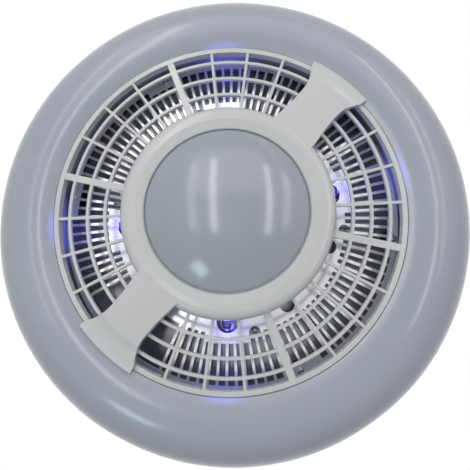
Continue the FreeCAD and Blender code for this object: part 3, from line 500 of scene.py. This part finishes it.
def copies_tree():
    """Geometry Nodes that put a unit at each point, turned by the point's own angles."""
    tree = bpy.data.node_groups.new("copies on points", "GeometryNodeTree")
    sockets = (
        ("Points", "NodeSocketGeometry", "INPUT"),
        ("Unit", "NodeSocketObject", "INPUT"),
        ("Size", "NodeSocketFloat", "INPUT"),
        ("Finish", "NodeSocketMaterial", "INPUT"),
        ("Copies", "NodeSocketGeometry", "OUTPUT"),
    )
    for name, kind, way in sockets:
        tree.interface.new_socket(name=name, in_out=way, socket_type=kind)
    source = add(tree, "NodeGroupInput")
    turn = add(tree, "GeometryNodeInputNamedAttribute", {"Name": "turn"}, data_type="FLOAT_VECTOR")
    unit = add(tree, "GeometryNodeObjectInfo", {"Object": source.outputs["Unit"]})
    copies = add(tree, "GeometryNodeInstanceOnPoints", {
        "Points": source.outputs["Points"], "Instance": unit.outputs["Geometry"],
        "Rotation": turn.outputs["Attribute"], "Scale": source.outputs["Size"],
    })
    whole = add(tree, "GeometryNodeRealizeInstances", {"Geometry": copies.outputs["Instances"]})
    coated = add(tree, "GeometryNodeSetMaterial", {
        "Geometry": whole.outputs["Geometry"], "Material": source.outputs["Finish"],
    })
    add(tree, "NodeGroupOutput", {"Copies": coated.outputs["Geometry"]})
    return tree


def evaluated_mesh(item):
    """What an object's curve or modifiers make, as a plain mesh."""
    graph = bpy.context.evaluated_depsgraph_get()
    return bpy.data.meshes.new_from_object(item.evaluated_get(graph))


def copy_on_points(name, unit_mesh, points, turns, material, replaced=()):
    """Repeats a unit with Geometry Nodes and keeps the result as one plain mesh."""
    tree = bpy.data.node_groups.get("copies on points") or copies_tree()
    cloud = bpy.data.meshes.new("points")
    cloud.from_pydata([tuple(point) for point in points], [], [])
    angles = cloud.attributes.new("turn", "FLOAT_VECTOR", "POINT")
    for item, turn in zip(angles.data, turns):
        item.vector = turn
    holder = new_object("points", cloud)
    unit = new_object("unit", unit_mesh)
    modifier = holder.modifiers.new("copies", "NODES")
    modifier.node_group = tree
    # the units are drawn at their real size
    values = {"Unit": unit, "Size": 1.0, "Finish": material}
    for socket in tree.interface.items_tree:
        if socket.in_out == "INPUT" and socket.name in values:
            modifier[socket.identifier] = values[socket.name]
    mesh = evaluated_mesh(holder)
    for item in (holder, unit):
        bpy.data.objects.remove(item)
    new_piece(name, mesh, material, replaced)


def tube(name, runs, radius, material):
    """Smooth round wires along runs of points."""
    curve = bpy.data.curves.new(name, "CURVE")
    curve.dimensions = "3D"
    curve.bevel_depth = radius
    curve.bevel_resolution = 3
    curve.resolution_u = 6
    curve.use_fill_caps = True
    for run in runs:
        spline = curve.splines.new("NURBS")
        spline.points.add(len(run) - 1)
        for point, place in zip(spline.points, run):
            point.co = (*place, 1.0)
        spline.order_u = 3
        spline.use_endpoint_u = True
    holder = new_object(name, curve)
    mesh = evaluated_mesh(holder)
    bpy.data.objects.remove(holder)
    for face in mesh.polygons:
        face.use_smooth = True
    new_piece(name, mesh, material)


def shell_mesh(sizes):
    """The cap's rolled shell, whose wall rises and falls along a true right-hand helix."""
    columns = 96
    rows_per_turn = 12
    sheet = 0.5 * MM
    shoulder = 0.6 * MM
    mean, rise, pitch = sizes.thread_radius, sizes.thread_rise, sizes.thread_pitch
    top, bottom = -sizes.thread_top, -sizes.thread_bottom
    steps = round((top - bottom) / pitch * rows_per_turn)
    rows = [ring_row(sizes.lip_radius, -sizes.shell_top, columns)]
    for step in range(steps + 1):
        height = top + (bottom - top) * step / steps
        fade = min(1.0, (top - height) / (pitch / 2), (height - bottom) / (pitch / 2))

        def thread(share):
            wave = math.cos(2 * math.pi * (height / pitch - share))
            return mean + rise * (wave * fade - (1 - fade))

        rows.append(wavy_row(thread, height, columns))
    for radius, height in (
        (sizes.band_radius, bottom - shoulder),
        (sizes.band_radius, -sizes.shell_bottom),
        (sizes.shell_bore, -sizes.shell_bottom),
        (sizes.shell_bore, -sizes.shell_top - sheet),
        (sizes.lip_radius - sheet, -sizes.shell_top),
        (sizes.lip_radius, -sizes.shell_top),
    ):
        rows.append(ring_row(radius, height, columns))
    shape = bmesh.new()
    skin(shape, rows)
    return to_mesh(shape, "shell", 50)


def screw_mesh(head_radius, head_height, core_radius, length):
    """A pan-head screw with a cross recess, head up at Z 0, and a coarse thread on its shank."""
    columns = 40
    rings = 12
    rows_per_turn = 6
    pan_power = 3.2
    valley, tip = 0.82, 0.8
    arm_half = head_radius * 0.14
    arm_length = head_radius * 0.62
    recess = head_height * 0.55
    pitch = core_radius * 0.9
    steps = round(length / pitch * rows_per_turn)
    rows = []
    for step in range(steps, -1, -1):
        depth = length * step / steps
        taper = 1.0 if depth < length - pitch else tip

        def thread(share):
            wave = max(0.0, math.cos(2 * math.pi * (depth / pitch + share)))
            return core_radius * (valley + (1 - valley) * wave) * taper

        rows.append(wavy_row(thread, -depth, columns))
    for ring in range(rings, 0, -1):
        share = ring / rings
        height = head_height * math.sqrt(max(0.0, 1 - share ** pan_power))
        row = []
        for x, y, level in ring_row(head_radius * share, height, columns):
            narrow, wide = sorted((abs(x), abs(y)))
            depth = recess * min(1.0, (arm_length - wide) / (arm_length / 2))
            in_cross = narrow < arm_half and wide < arm_length
            row.append((x, y, level - depth if in_cross else level))
        rows.append(row)
    shape = bmesh.new()
    made = skin(shape, rows)
    shape.faces.new(made[0])
    inner = made[-1]
    middle = shape.verts.new((0.0, 0.0, head_height - recess))
    for i in range(columns):
        shape.faces.new((inner[i], inner[(i + 1) % columns], middle))
    return to_mesh(shape, "screw", 40)


def epoxy_mesh(sizes):
    """The lamp's bullet-shaped body with its flange, along Z from its base."""
    flange = 1 * MM
    dome_steps = 9
    tip_radius, tip_flat = 0.2 * MM, 0.01 * MM
    radius, start = sizes.radius, sizes.length - sizes.radius
    profile = [(sizes.flange_radius, 0.0), (sizes.flange_radius, flange)]
    profile += [(radius, flange), (radius, start)]
    for step in range(1, dome_steps):
        angle = math.pi / 2 * step / dome_steps
        profile.append((radius * math.cos(angle), start + radius * math.sin(angle)))
    profile.append((tip_radius, sizes.length - tip_flat))
    return to_mesh(lathe(profile, 32), "epoxy", 40)


def lead_frame_mesh(sizes):
    """Two posts, the cup that holds the die, and the legs out of the base."""
    half = 0.25 * MM
    leg = sizes.leg_spacing
    legs_end = -sizes.leg_length
    tall_post, short_post = 4.2 * MM, 3.4 * MM
    arm_low, arm_high, arm_end = 3.0 * MM, 3.6 * MM, 0.2 * MM
    cup = [(0.5 * MM, 3.3 * MM), (0.95 * MM, 4.3 * MM), (0.8 * MM, 4.3 * MM), (0.4 * MM, 3.7 * MM)]
    shape = bmesh.new()
    block(shape, (-half, leg - half, legs_end), (half, leg + half, tall_post))
    block(shape, (-half, -leg - half, legs_end), (half, -leg + half, short_post))
    block(shape, (-half, -leg - half, arm_low), (half, arm_end, arm_high))
    lathe(cup, 20, shape)
    return to_mesh(shape, "lead frame", 30)


def die_mesh(sizes):
    """The die on the floor of its cup."""
    low, high = 3.72 * MM, 4.0 * MM
    half = sizes.die / 2
    shape = bmesh.new()
    block(shape, (-half, -half, low), (half, half, high))
    return to_mesh(shape, "die")


def package_mesh(sizes):
    """The package's white body, chamfered towards its face."""
    chamfer, sunk = 0.12 * MM, 0.03 * MM
    top = sizes.package_height
    rows = []
    for inset, height in ((0.0, 0.0), (0.0, top * 0.6), (chamfer, top - sunk)):
        x = sizes.package_length / 2 - inset
        y = sizes.package_width / 2 - inset
        rows.append([(-x, -y, height), (x, -y, height), (x, y, height), (-x, y, height)])
    shape = bmesh.new()
    skin(shape, rows, flat_ends=True)
    return to_mesh(shape, "package")


def window_mesh(sizes):
    """The round phosphor window, proud of the body by a hair."""
    top = sizes.package_height
    return to_mesh(lathe([(1.15 * MM, top - 0.1 * MM), (1.1 * MM, top)], 16), "window")


def tab_mesh(sizes):
    """The two folded solder tabs at the ends of the package."""
    fold, proud, under, height = 0.25 * MM, 0.01 * MM, -0.005 * MM, 0.3 * MM
    end, half = sizes.package_length / 2, sizes.package_width * 0.3
    shape = bmesh.new()
    for side in (1, -1):
        low, high = sorted((side * (end - fold), side * (end + proud)))
        block(shape, (low, -half, under), (high, half, height))
    return to_mesh(shape, "tabs")


# sizes and colours that a user would change
def colour_property(name, description, code):
    return StringProperty(name=name, description=description, default=code)


class BulbColours(PropertyGroup):
    guard: colour_property("Guard", "Colour of the front guard's plastic", "#D0D0D1")
    housing: colour_property("Housing", "Colour of the rear housing's plastic", "#E6E6E3")
    ring: colour_property("Light ring", "Colour of the opal light ring", "#A5AAB8")
    lens: colour_property("Centre lens", "Colour of the opal centre lens", "#9CA3AC")
    # the wall's colour is the slate it takes deep in the chamber, which is painted shade
    wall: colour_property("Chamber wall", "Colour of the frosted chamber wall", "#55586A")
    plate: colour_property("Front electrode", "Colour of the slotted plate", "#FBFBFC")
    mirror: colour_property("Rear electrode", "Colour of the polished plate", "#97999D")


def length_property(name, description, value):
    return FloatProperty(name=name, description=description, default=value * MM, min=0.0,
                         unit="LENGTH")


class BulbCap(PropertyGroup):
    shell_top: length_property("Shell top", "Depth of the rolled lip below the contact", 4.4)
    shell_bottom: length_property("Shell end", "Depth of the shell's open end", 26.0)
    shell_bore: length_property("Shell bore", "Radius inside the shell", 11.3)
    lip_radius: length_property("Lip", "Radius of the lip that holds the insulator", 11.7)
    band_radius: length_property("Band", "Radius of the plain band below the thread", 13.1)
    thread_top: length_property("Thread start", "Depth where the thread begins", 5.4)
    thread_bottom: length_property("Thread end", "Depth where the thread ends", 21.2)
    thread_radius: length_property("Thread radius", "Mean radius of the rolled thread", 12.6)
    thread_rise: length_property("Thread rise", "Rise and fall about the mean radius", 0.45)
    thread_pitch: length_property("Thread pitch", "Depth of one turn of the thread", 3.6)


class BulbLamps(PropertyGroup):
    base: length_property("Lamp base", "Distance of each lamp's base from the axis", 47.0)
    length: length_property("Lamp length", "Length of a violet lamp's epoxy body", 9.7)
    radius: length_property("Lamp radius", "Radius of a violet lamp's body", 2.5)
    flange_radius: length_property("Lamp flange", "Radius of a violet lamp's flange", 2.9)
    leg_spacing: length_property("Lamp legs", "Distance of each leg from its lamp's axis", 1.27)
    leg_length: length_property("Leg length", "Length of the legs behind the base", 4.4)
    die: length_property("Die", "Width of the lit die", 0.5)
    package_length: length_property("Package length", "Length of a white LED package", 3.5)
    package_width: length_property("Package width", "Width of a white LED package", 2.8)
    package_height: length_property("Package height", "Height of a white LED package", 0.8)


class BulbStage(PropertyGroup):
    lens_length: FloatProperty(
        name="Lens", description="Focal length on a 36 mm wide picture",
        default=25.98, min=10.0, max=200.0, subtype="DISTANCE_CAMERA")
    camera_place: FloatVectorProperty(
        name="Camera place", description="Where the camera stands",
        default=(0.0098, 0.0331, -0.264), subtype="TRANSLATION", unit="LENGTH")
    camera_aim: FloatVectorProperty(
        name="Camera aim", description="The point at the picture's centre",
        default=(0.0026, 0.0087, -0.084), subtype="TRANSLATION", unit="LENGTH")
    camera_roll: FloatProperty(
        name="Camera roll", description="Turn of the camera about its own axis",
        default=math.radians(-1.1), subtype="ANGLE", unit="ROTATION")
    surround: FloatProperty(
        name="Surround", description="How brightly the white surround lights the bulb",
        default=0.22, min=0.0, max=2.0)
    floor_depth: FloatProperty(
        name="Floor depth", description="How far the floor is below the bulb's contact",
        default=1.6, min=0.4, max=4.0, unit="LENGTH")


# operators
class BULB_OT_dress(Operator):
    """Give every solid of the bulb its own finish"""
    bl_idname = "bulb.dress"
    bl_label = "Dress the solids"

    def execute(self, context):
        colours = context.scene.bulb_colours
        dress(["front_guard"], finish("white satin ABS", colours.guard))
        dress(["rear_housing"], finish("textured white ABS", colours.housing))
        dress(["ring_diffuser"], opal_ring(colours.ring))
        dress(["centre_lens"], finish("polished opal polycarbonate", colours.lens))
        dress(["chamber_wall"], frosted_wall(colours.wall))
        dress(["front_electrode"], stamped_steel(colours.plate))
        dress(["rear_electrode"], finish("polished steel", colours.mirror))
        dress(POST_NODES, finish("black nylon"))
        dress(["ring_led_board", "uv_led_board", "centre_led_board"],
              circuit_board("white solder mask", "#E4E5E0", "#C9CBC4"))
        dress(["driver_board"], circuit_board("green solder mask", "#1F5B3A", "#3B7C52"))
        for node, name in PLAIN_SOLIDS.items():
            dress([node], finish(name))
        return {"FINISHED"}


class BULB_OT_cap_thread(Operator):
    """Roll the cap's screw thread"""
    bl_idname = "bulb.cap_thread"
    bl_label = "Cap thread"

    def execute(self, context):
        brass = finish("nickel-plated brass shell")
        shell = shell_mesh(context.scene.bulb_cap)
        new_piece("threaded_shell", shell, brass, ["screw_shell"])
        return {"FINISHED"}


class BULB_OT_screws(Operator):
    """Put cross-recess screws in the electrodes, the housing and the lamp board"""
    bl_idname = "bulb.screws"
    bl_label = "Screws"

    def execute(self, context):
        zinc = finish("zinc-plated steel")
        head_share, core_share = 0.62, 0.53
        spin_rate = 40
        # heads look down, away from the cap, except for the housing's screws
        kinds = (("electrode_screws", False), ("board_screws", False), ("housing_screws", True))
        for node, looks_up in kinds:
            boxes = islands(node)
            low, high = boxes[0]
            head_radius = (high.x - low.x) / 2
            head_height = head_radius * head_share
            shank = high.z - low.z - head_height
            unit = screw_mesh(head_radius, head_height, head_radius * core_share, shank)
            points, turns = [], []
            for low, high in boxes:
                seat = high.z - head_height if looks_up else low.z + head_height
                points.append(((low.x + high.x) / 2, (low.y + high.y) / 2, seat))
                # each recess stops at its own angle
                spin = spin_rate * (low.x + high.y) / head_radius
                turns.append((0.0 if looks_up else math.pi, 0.0, spin))
            name = node.replace("screws", "cross_screws")
            copy_on_points(name, unit, points, turns, zinc, [node])
        return {"FINISHED"}


class BULB_OT_violet_lamps(Operator):
    """Make the four violet lamps with their lead frames and lit dies"""
    bl_idname = "bulb.violet_lamps"
    bl_label = "Violet lamps"

    def execute(self, context):
        sizes = context.scene.bulb_lamps
        points, turns = [], []
        for name in LAMP_NODES:
            spot = centre_of(name)
            angle = math.atan2(spot.y, spot.x)
            points.append((sizes.base * math.cos(angle), sizes.base * math.sin(angle), spot.z))
            turns.append((0.0, math.pi / 2, angle))
        copy_on_points("violet_lamp_epoxy", epoxy_mesh(sizes), points, turns,
                       finish("violet-tinted epoxy"), LAMP_NODES)
        copy_on_points("violet_lamp_leads", lead_frame_mesh(sizes), points, turns,
                       finish("tinned lead frame"))
        copy_on_points("violet_lamp_dies", die_mesh(sizes), points, turns,
                       lit_die("#8F7DFF"))
        return {"FINISHED"}


class BULB_OT_light_packages(Operator):
    """Make the white LED packages of the ring and the centre"""
    bl_idname = "bulb.light_packages"
    bl_label = "LED packages"

    def execute(self, context):
        sizes = context.scene.bulb_lamps
        nodes = ["ring_leds", "centre_leds"]
        points, turns = [], []
        for node in nodes:
            for low, high in islands(node):
                x, y = (low.x + high.x) / 2, (low.y + high.y) / 2
                points.append((x, y, high.z))
                turns.append((math.pi, 0.0, math.atan2(y, x) + math.pi / 2))
        copy_on_points("led_packages", package_mesh(sizes), points, turns,
                       finish("white moulded PPA"), nodes)
        copy_on_points("led_windows", window_mesh(sizes), points, turns,
                       finish("phosphor silicone"))
        copy_on_points("led_tabs", tab_mesh(sizes), points, turns,
                       finish("silver-plated tabs"))
        return {"FINISHED"}


class BULB_OT_windings(Operator):
    """Wind copper wire that shows at both ends of the transformer's tape"""
    bl_idname = "bulb.windings"
    bl_label = "Windings"

    def execute(self, context):
        low, high = (Vector(corner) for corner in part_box("transformer_coil"))
        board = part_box("driver_board")[1][2]
        centre = (low + high) / 2
        turns, sides = 5, 12
        wire_radius = 0.18 * MM
        rise = 1.1 * MM
        squareness = 1.35
        runs = []
        for turn in range(turns):
            inset = 0.35 * MM + turn * 0.42 * MM
            half_y = (high.y - low.y) / 2 + 0.1 * MM - inset * 0.3
            half_x = (high.x - low.x) / 2 - inset * 0.4
            start = low.z + 0.6 * MM + turn * rise
            run = []
            for step in range(sides + 1):
                angle = 2 * math.pi * step / sides
                x = centre.x + half_x * max(-1, min(1, squareness * math.cos(angle)))
                y = centre.y + half_y * max(-1, min(1, squareness * math.sin(angle)))
                run.append((x, y, start + rise * step / sides))
            runs.append(run)
        # the wire's two tails go down to the board
        for side in (1, -1):
            y = centre.y + side * (high.y - low.y) / 2
            out_x, out_y = centre.x + side * 2.6 * MM, y + side * 1 * MM
            runs.append([
                (centre.x + side * 2 * MM, y, centre.z), (out_x, out_y, centre.z - 2 * MM),
                (out_x, out_y, board),
            ])
        copper = finish("enamelled copper wire")
        tube("transformer_windings", runs, wire_radius, copper)
        return {"FINISHED"}


class BULB_OT_solder(Operator):
    """Solder each part's legs where they come through the driver board"""
    bl_idname = "bulb.solder"
    bl_label = "Solder joints"

    def execute(self, context):
        # each leg's place, as a share of its part's length and width from the middle
        legs = {
            "transformer_core": ((-0.3, -0.36), (-0.3, 0.36), (0.3, -0.36), (0.3, 0.36)),
            "smoothing_capacitor": ((-0.25, 0.0), (0.25, 0.0)),
            "film_capacitor": ((-0.42, 0.0), (0.42, 0.0)),
            "bridge_rectifier": ((-0.4, -0.3), (0.4, -0.3), (-0.4, 0.3), (0.4, 0.3)),
            "voltage_multiplier": ((-0.44, -0.3), (-0.15, -0.3), (0.15, 0.3), (0.44, 0.3)),
            "fuse_resistor": ((-0.46, 0.0), (0.46, 0.0)),
        }
        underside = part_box("driver_board")[0][2]
        points = []
        for node, places in legs.items():
            low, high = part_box(node)
            for share_x, share_y in places:
                x = (low[0] + high[0]) / 2 + share_x * (high[0] - low[0])
                y = (low[1] + high[1]) / 2 + share_y * (high[1] - low[1])
                points.append((x, y, underside))
        # the cone's radius and height, in millimetres
        cone = ((1.0, 0.0), (0.75, 0.2), (0.42, 0.6), (0.3, 1.1), (0.2, 1.3))
        joint = to_mesh(lathe([(r * MM, h * MM) for r, h in cone], 16), "joint", 60)
        turns = [(math.pi, 0.0, 0.0)] * len(points)
        solder = finish("lead-free solder")
        copy_on_points("solder_joints", joint, points, turns, solder)
        return {"FINISHED"}


class BULB_OT_leads(Operator):
    """Lay the leads from the cap to the driver, and from there to the chamber"""
    bl_idname = "bulb.leads"
    bl_label = "Leads"

    def execute(self, context):
        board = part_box("driver_board")[1][2] / MM
        # each route's points, in millimetres
        live = ((0, 0, -6), (0.5, 0, -16), (-4, 2, -30), (-1, -6, -45), (4, -16, -55),
                (4.8, -23.5, board))
        neutral = ((10.6, 0, -23.5), (8.5, 2, -30), (9, 1, -42), (19, -6, -52), (21, -12, board))
        to_ring = ((22, 10, board), (24, 12, -58), (36, 18, -60.5), (50, 22, -63.5),
                   (60, 24, -64.5))
        high_side = ((-17, -17, board), (-19, -18, -60), (-32, -16, -61.5), (-46, -12, -64),
                     (-60, -10, -64.5))
        low_side = ((1, -18, board), (2, -19, -59), (-12, -28, -61), (-30, -32, -63.5),
                    (-50, -30, -64.5))
        kinds = (
            ("live_leads", "red PVC", (live, high_side)),
            ("neutral_leads", "black PVC", (neutral, low_side)),
            ("ring_leads", "white PVC", (to_ring,)),
        )
        lead_radius = 0.65 * MM
        for name, sleeve, routes in kinds:
            runs = [[Vector(point) * MM for point in route] for route in routes]
            tube(name, runs, lead_radius, finish(sleeve))
        return {"FINISHED"}


class BULB_OT_lens_seal(Operator):
    """Lay the grey seal between the centre lens and the hub"""
    bl_idname = "bulb.lens_seal"
    bl_label = "Lens seal"

    def execute(self, context):
        columns = 128
        inner, outer = 38.25 * MM, 38.7 * MM
        front, back = -112.1 * MM, -109.5 * MM
        section = ((inner, back), (inner, front), (outer, front), (outer, back), (inner, back))
        shape = bmesh.new()
        skin(shape, [ring_row(radius, height, columns) for radius, height in section])
        silicone = finish("grey silicone")
        new_piece("lens_seal", to_mesh(shape, "seal", 40), silicone)
        return {"FINISHED"}


class BULB_OT_stage(Operator):
    """Set the camera, the lamps and the white surround"""
    bl_idname = "bulb.stage"
    bl_label = "Set the stage"

    def execute(self, context):
        settings = context.scene.bulb_stage
        set_camera(context.scene, settings)
        set_surround(context.scene, settings.surround)
        set_lamps()
        set_floor(settings.floor_depth)
        context.scene.view_settings.view_transform = "Standard"
        return {"FINISHED"}


def stand(name, data, place, axes):
    """A camera or lamp at a place, with its own X, Y and Z along three axes."""
    item = new_object(name, data)
    item.matrix_world = Matrix.Translation(place) @ Matrix(axes).transposed().to_4x4()
    return item


def set_camera(scene, settings):
    """The camera hangs below the bulb and looks up at it, with its top towards -Y."""
    place, aim = Vector(settings.camera_place), Vector(settings.camera_aim)
    forward = (aim - place).normalized()
    up = Vector((0.0, -1.0, 0.0))
    up = (up - forward * up.dot(forward)).normalized()
    right = forward.cross(up)
    roll = settings.camera_roll
    side = right * math.cos(roll) + up * math.sin(roll)
    top = up * math.cos(roll) - right * math.sin(roll)
    data = bpy.data.cameras.new("photo camera")
    data.sensor_width = 36.0
    data.lens = settings.lens_length
    data.clip_start = 0.01
    scene.camera = stand("photo camera", data, place, (side, top, -forward))


def seen_rays(tree):
    """1 for rays that show a thing to the camera, straight, mirrored or through glass, else 0."""
    path = add(tree, "ShaderNodeLightPath")
    direct = add(tree, "ShaderNodeMath", {
        0: path.outputs["Is Camera Ray"], 1: path.outputs["Is Glossy Ray"],
    }, operation="MAXIMUM")
    return add(tree, "ShaderNodeMath", {
        0: direct.outputs[0], 1: path.outputs["Is Transmission Ray"],
    }, operation="MAXIMUM").outputs[0]


def set_surround(scene, level):
    """White to the camera and in reflections, and dimmer as a light."""
    world = bpy.data.worlds.new("white surround")
    tree = empty_tree(world)
    strength = add(tree, "ShaderNodeMapRange", {
        "Value": seen_rays(tree), "To Min": level,
    })
    light = add(tree, "ShaderNodeBackground", {
        "Color": (1, 1, 1, 1), "Strength": strength.outputs["Result"],
    })
    add(tree, "ShaderNodeOutputWorld", {"Surface": light.outputs["Background"]})
    scene.world = world


def add_strip(name, ends, width, power, colour="#FFFFFF", aim=(0.0, 0.0, -0.1), mirrored=True):
    """A strip light between two points, facing an aim."""
    start, end = Vector(ends[0]), Vector(ends[1])
    middle = (start + end) / 2
    data = bpy.data.lights.new(name, "AREA")
    data.shape = "RECTANGLE"
    data.size = (end - start).length
    data.size_y = width
    data.energy = power
    data.color = tint(colour)[:3]
    along = (end - start).normalized()
    away = middle - Vector(aim)
    away = (away - along * away.dot(along)).normalized()
    lamp = stand(name, data, middle, (along, away.cross(along), away))
    lamp.visible_glossy = mirrored


def set_lamps():
    """Strips below the bulb draw the bright streaks, and panels light it from both sides."""
    add_strip("left strip", [(-0.17, 0.138, -0.874), (-0.185, -0.798, -0.692)], 0.07, 1.0)
    add_strip("left pair strip", [(-0.42, 0.1, -0.84), (-0.43, -0.75, -0.66)], 0.1, 0.5)
    add_strip("right pair strip", [(0.67, 0.1, -0.76), (0.68, -0.6, -0.62)], 0.1, 0.4)
    add_strip("right strip", [(0.416, 0.168, -0.795), (0.439, -0.729, -0.678)], 0.07, 0.9)
    add_strip("far right strip", [(0.791, -0.329, -0.759), (0.241, -1.068, -0.249)], 0.06, 0.15)
    window = [(-0.54, 0.58, -0.85), (-0.38, 0.74, -0.81)]
    add_strip("low left window", window, 0.18, 0.8, "#C8F0EC")
    add_strip("front panel", [(-0.7, -0.9, -1.1), (0.6, -0.9, -1.1)], 1.0, 3.2)
    add_strip("low fill", [(-0.9, 0.2, -1.0), (-0.4, 0.2, -1.0)], 0.5, 1.1, mirrored=False)
    add_strip("back panel", [(-0.7, 0.2, 1.2), (0.7, 0.2, 1.2)], 1.4, 9.0, aim=(0.0, 0.0, -0.05))
    # each violet lamp shines a little, from just ahead of it
    ahead = 8 * MM
    for name in LAMP_NODES:
        spot = centre_of(name)
        data = bpy.data.lights.new(name + " light", "POINT")
        data.energy = 0.003
        data.color = tint("#6A63FF")[:3]
        data.shadow_soft_size = 2 * MM
        outward = Vector((spot.x, spot.y, 0.0)).normalized()
        stand(name + " light", data, spot + outward * ahead, Matrix.Identity(3))


def set_floor(depth):
    """A pale floor well below the bulb, white to the camera and in reflections."""
    half = 4.0
    corners = [(x * half, y * half, -depth) for x, y in ((-1, -1), (1, -1), (1, 1), (-1, 1))]
    mesh = bpy.data.meshes.new("floor")
    mesh.from_pydata(corners, [], [(0, 1, 2, 3)])
    floor = new_object("floor", mesh)
    material = bpy.data.materials.new("pale floor")
    tree = empty_tree(material)
    pale = add(tree, "ShaderNodeBsdfDiffuse", {"Color": tint("#F4F4F3")})
    white = add(tree, "ShaderNodeEmission", {"Color": (1, 1, 1, 1)})
    mix = add(tree, "ShaderNodeMixShader", {
        0: seen_rays(tree), 1: pale.outputs["BSDF"], 2: white.outputs["Emission"],
    })
    add(tree, "ShaderNodeOutputMaterial", {"Surface": mix.outputs["Shader"]})
    mesh.materials.append(material)


class BULB_PT_panel(Panel):
    """Lists the steps that dress the bulb"""
    bl_idname = "BULB_PT_panel"
    bl_label = "Insect killer bulb"
    bl_space_type = "VIEW_3D"
    bl_region_type = "UI"
    bl_category = "Bulb"

    def draw(self, context):
        for operator in STEPS:
            self.layout.operator(operator.bl_idname)


GROUPS = {
    "bulb_colours": BulbColours,
    "bulb_cap": BulbCap,
    "bulb_lamps": BulbLamps,
    "bulb_stage": BulbStage,
}
STEPS = (
    BULB_OT_dress, BULB_OT_cap_thread, BULB_OT_screws, BULB_OT_violet_lamps,
    BULB_OT_light_packages, BULB_OT_windings, BULB_OT_solder, BULB_OT_leads,
    BULB_OT_lens_seal, BULB_OT_stage,
)
CLASSES = (*GROUPS.values(), *STEPS, BULB_PT_panel)


def register():
    for item in CLASSES:
        bpy.utils.register_class(item)
    for name, group in GROUPS.items():
        setattr(bpy.types.Scene, name, PointerProperty(type=group))


def unregister():
    for name in GROUPS:
        delattr(bpy.types.Scene, name)
    for item in reversed(CLASSES):
        bpy.utils.unregister_class(item)


def main():
    register()
    for step in STEPS:
        group, name = step.bl_idname.split(".")
        getattr(getattr(bpy.ops, group), name)()


if __name__ == "__main__":
    main()
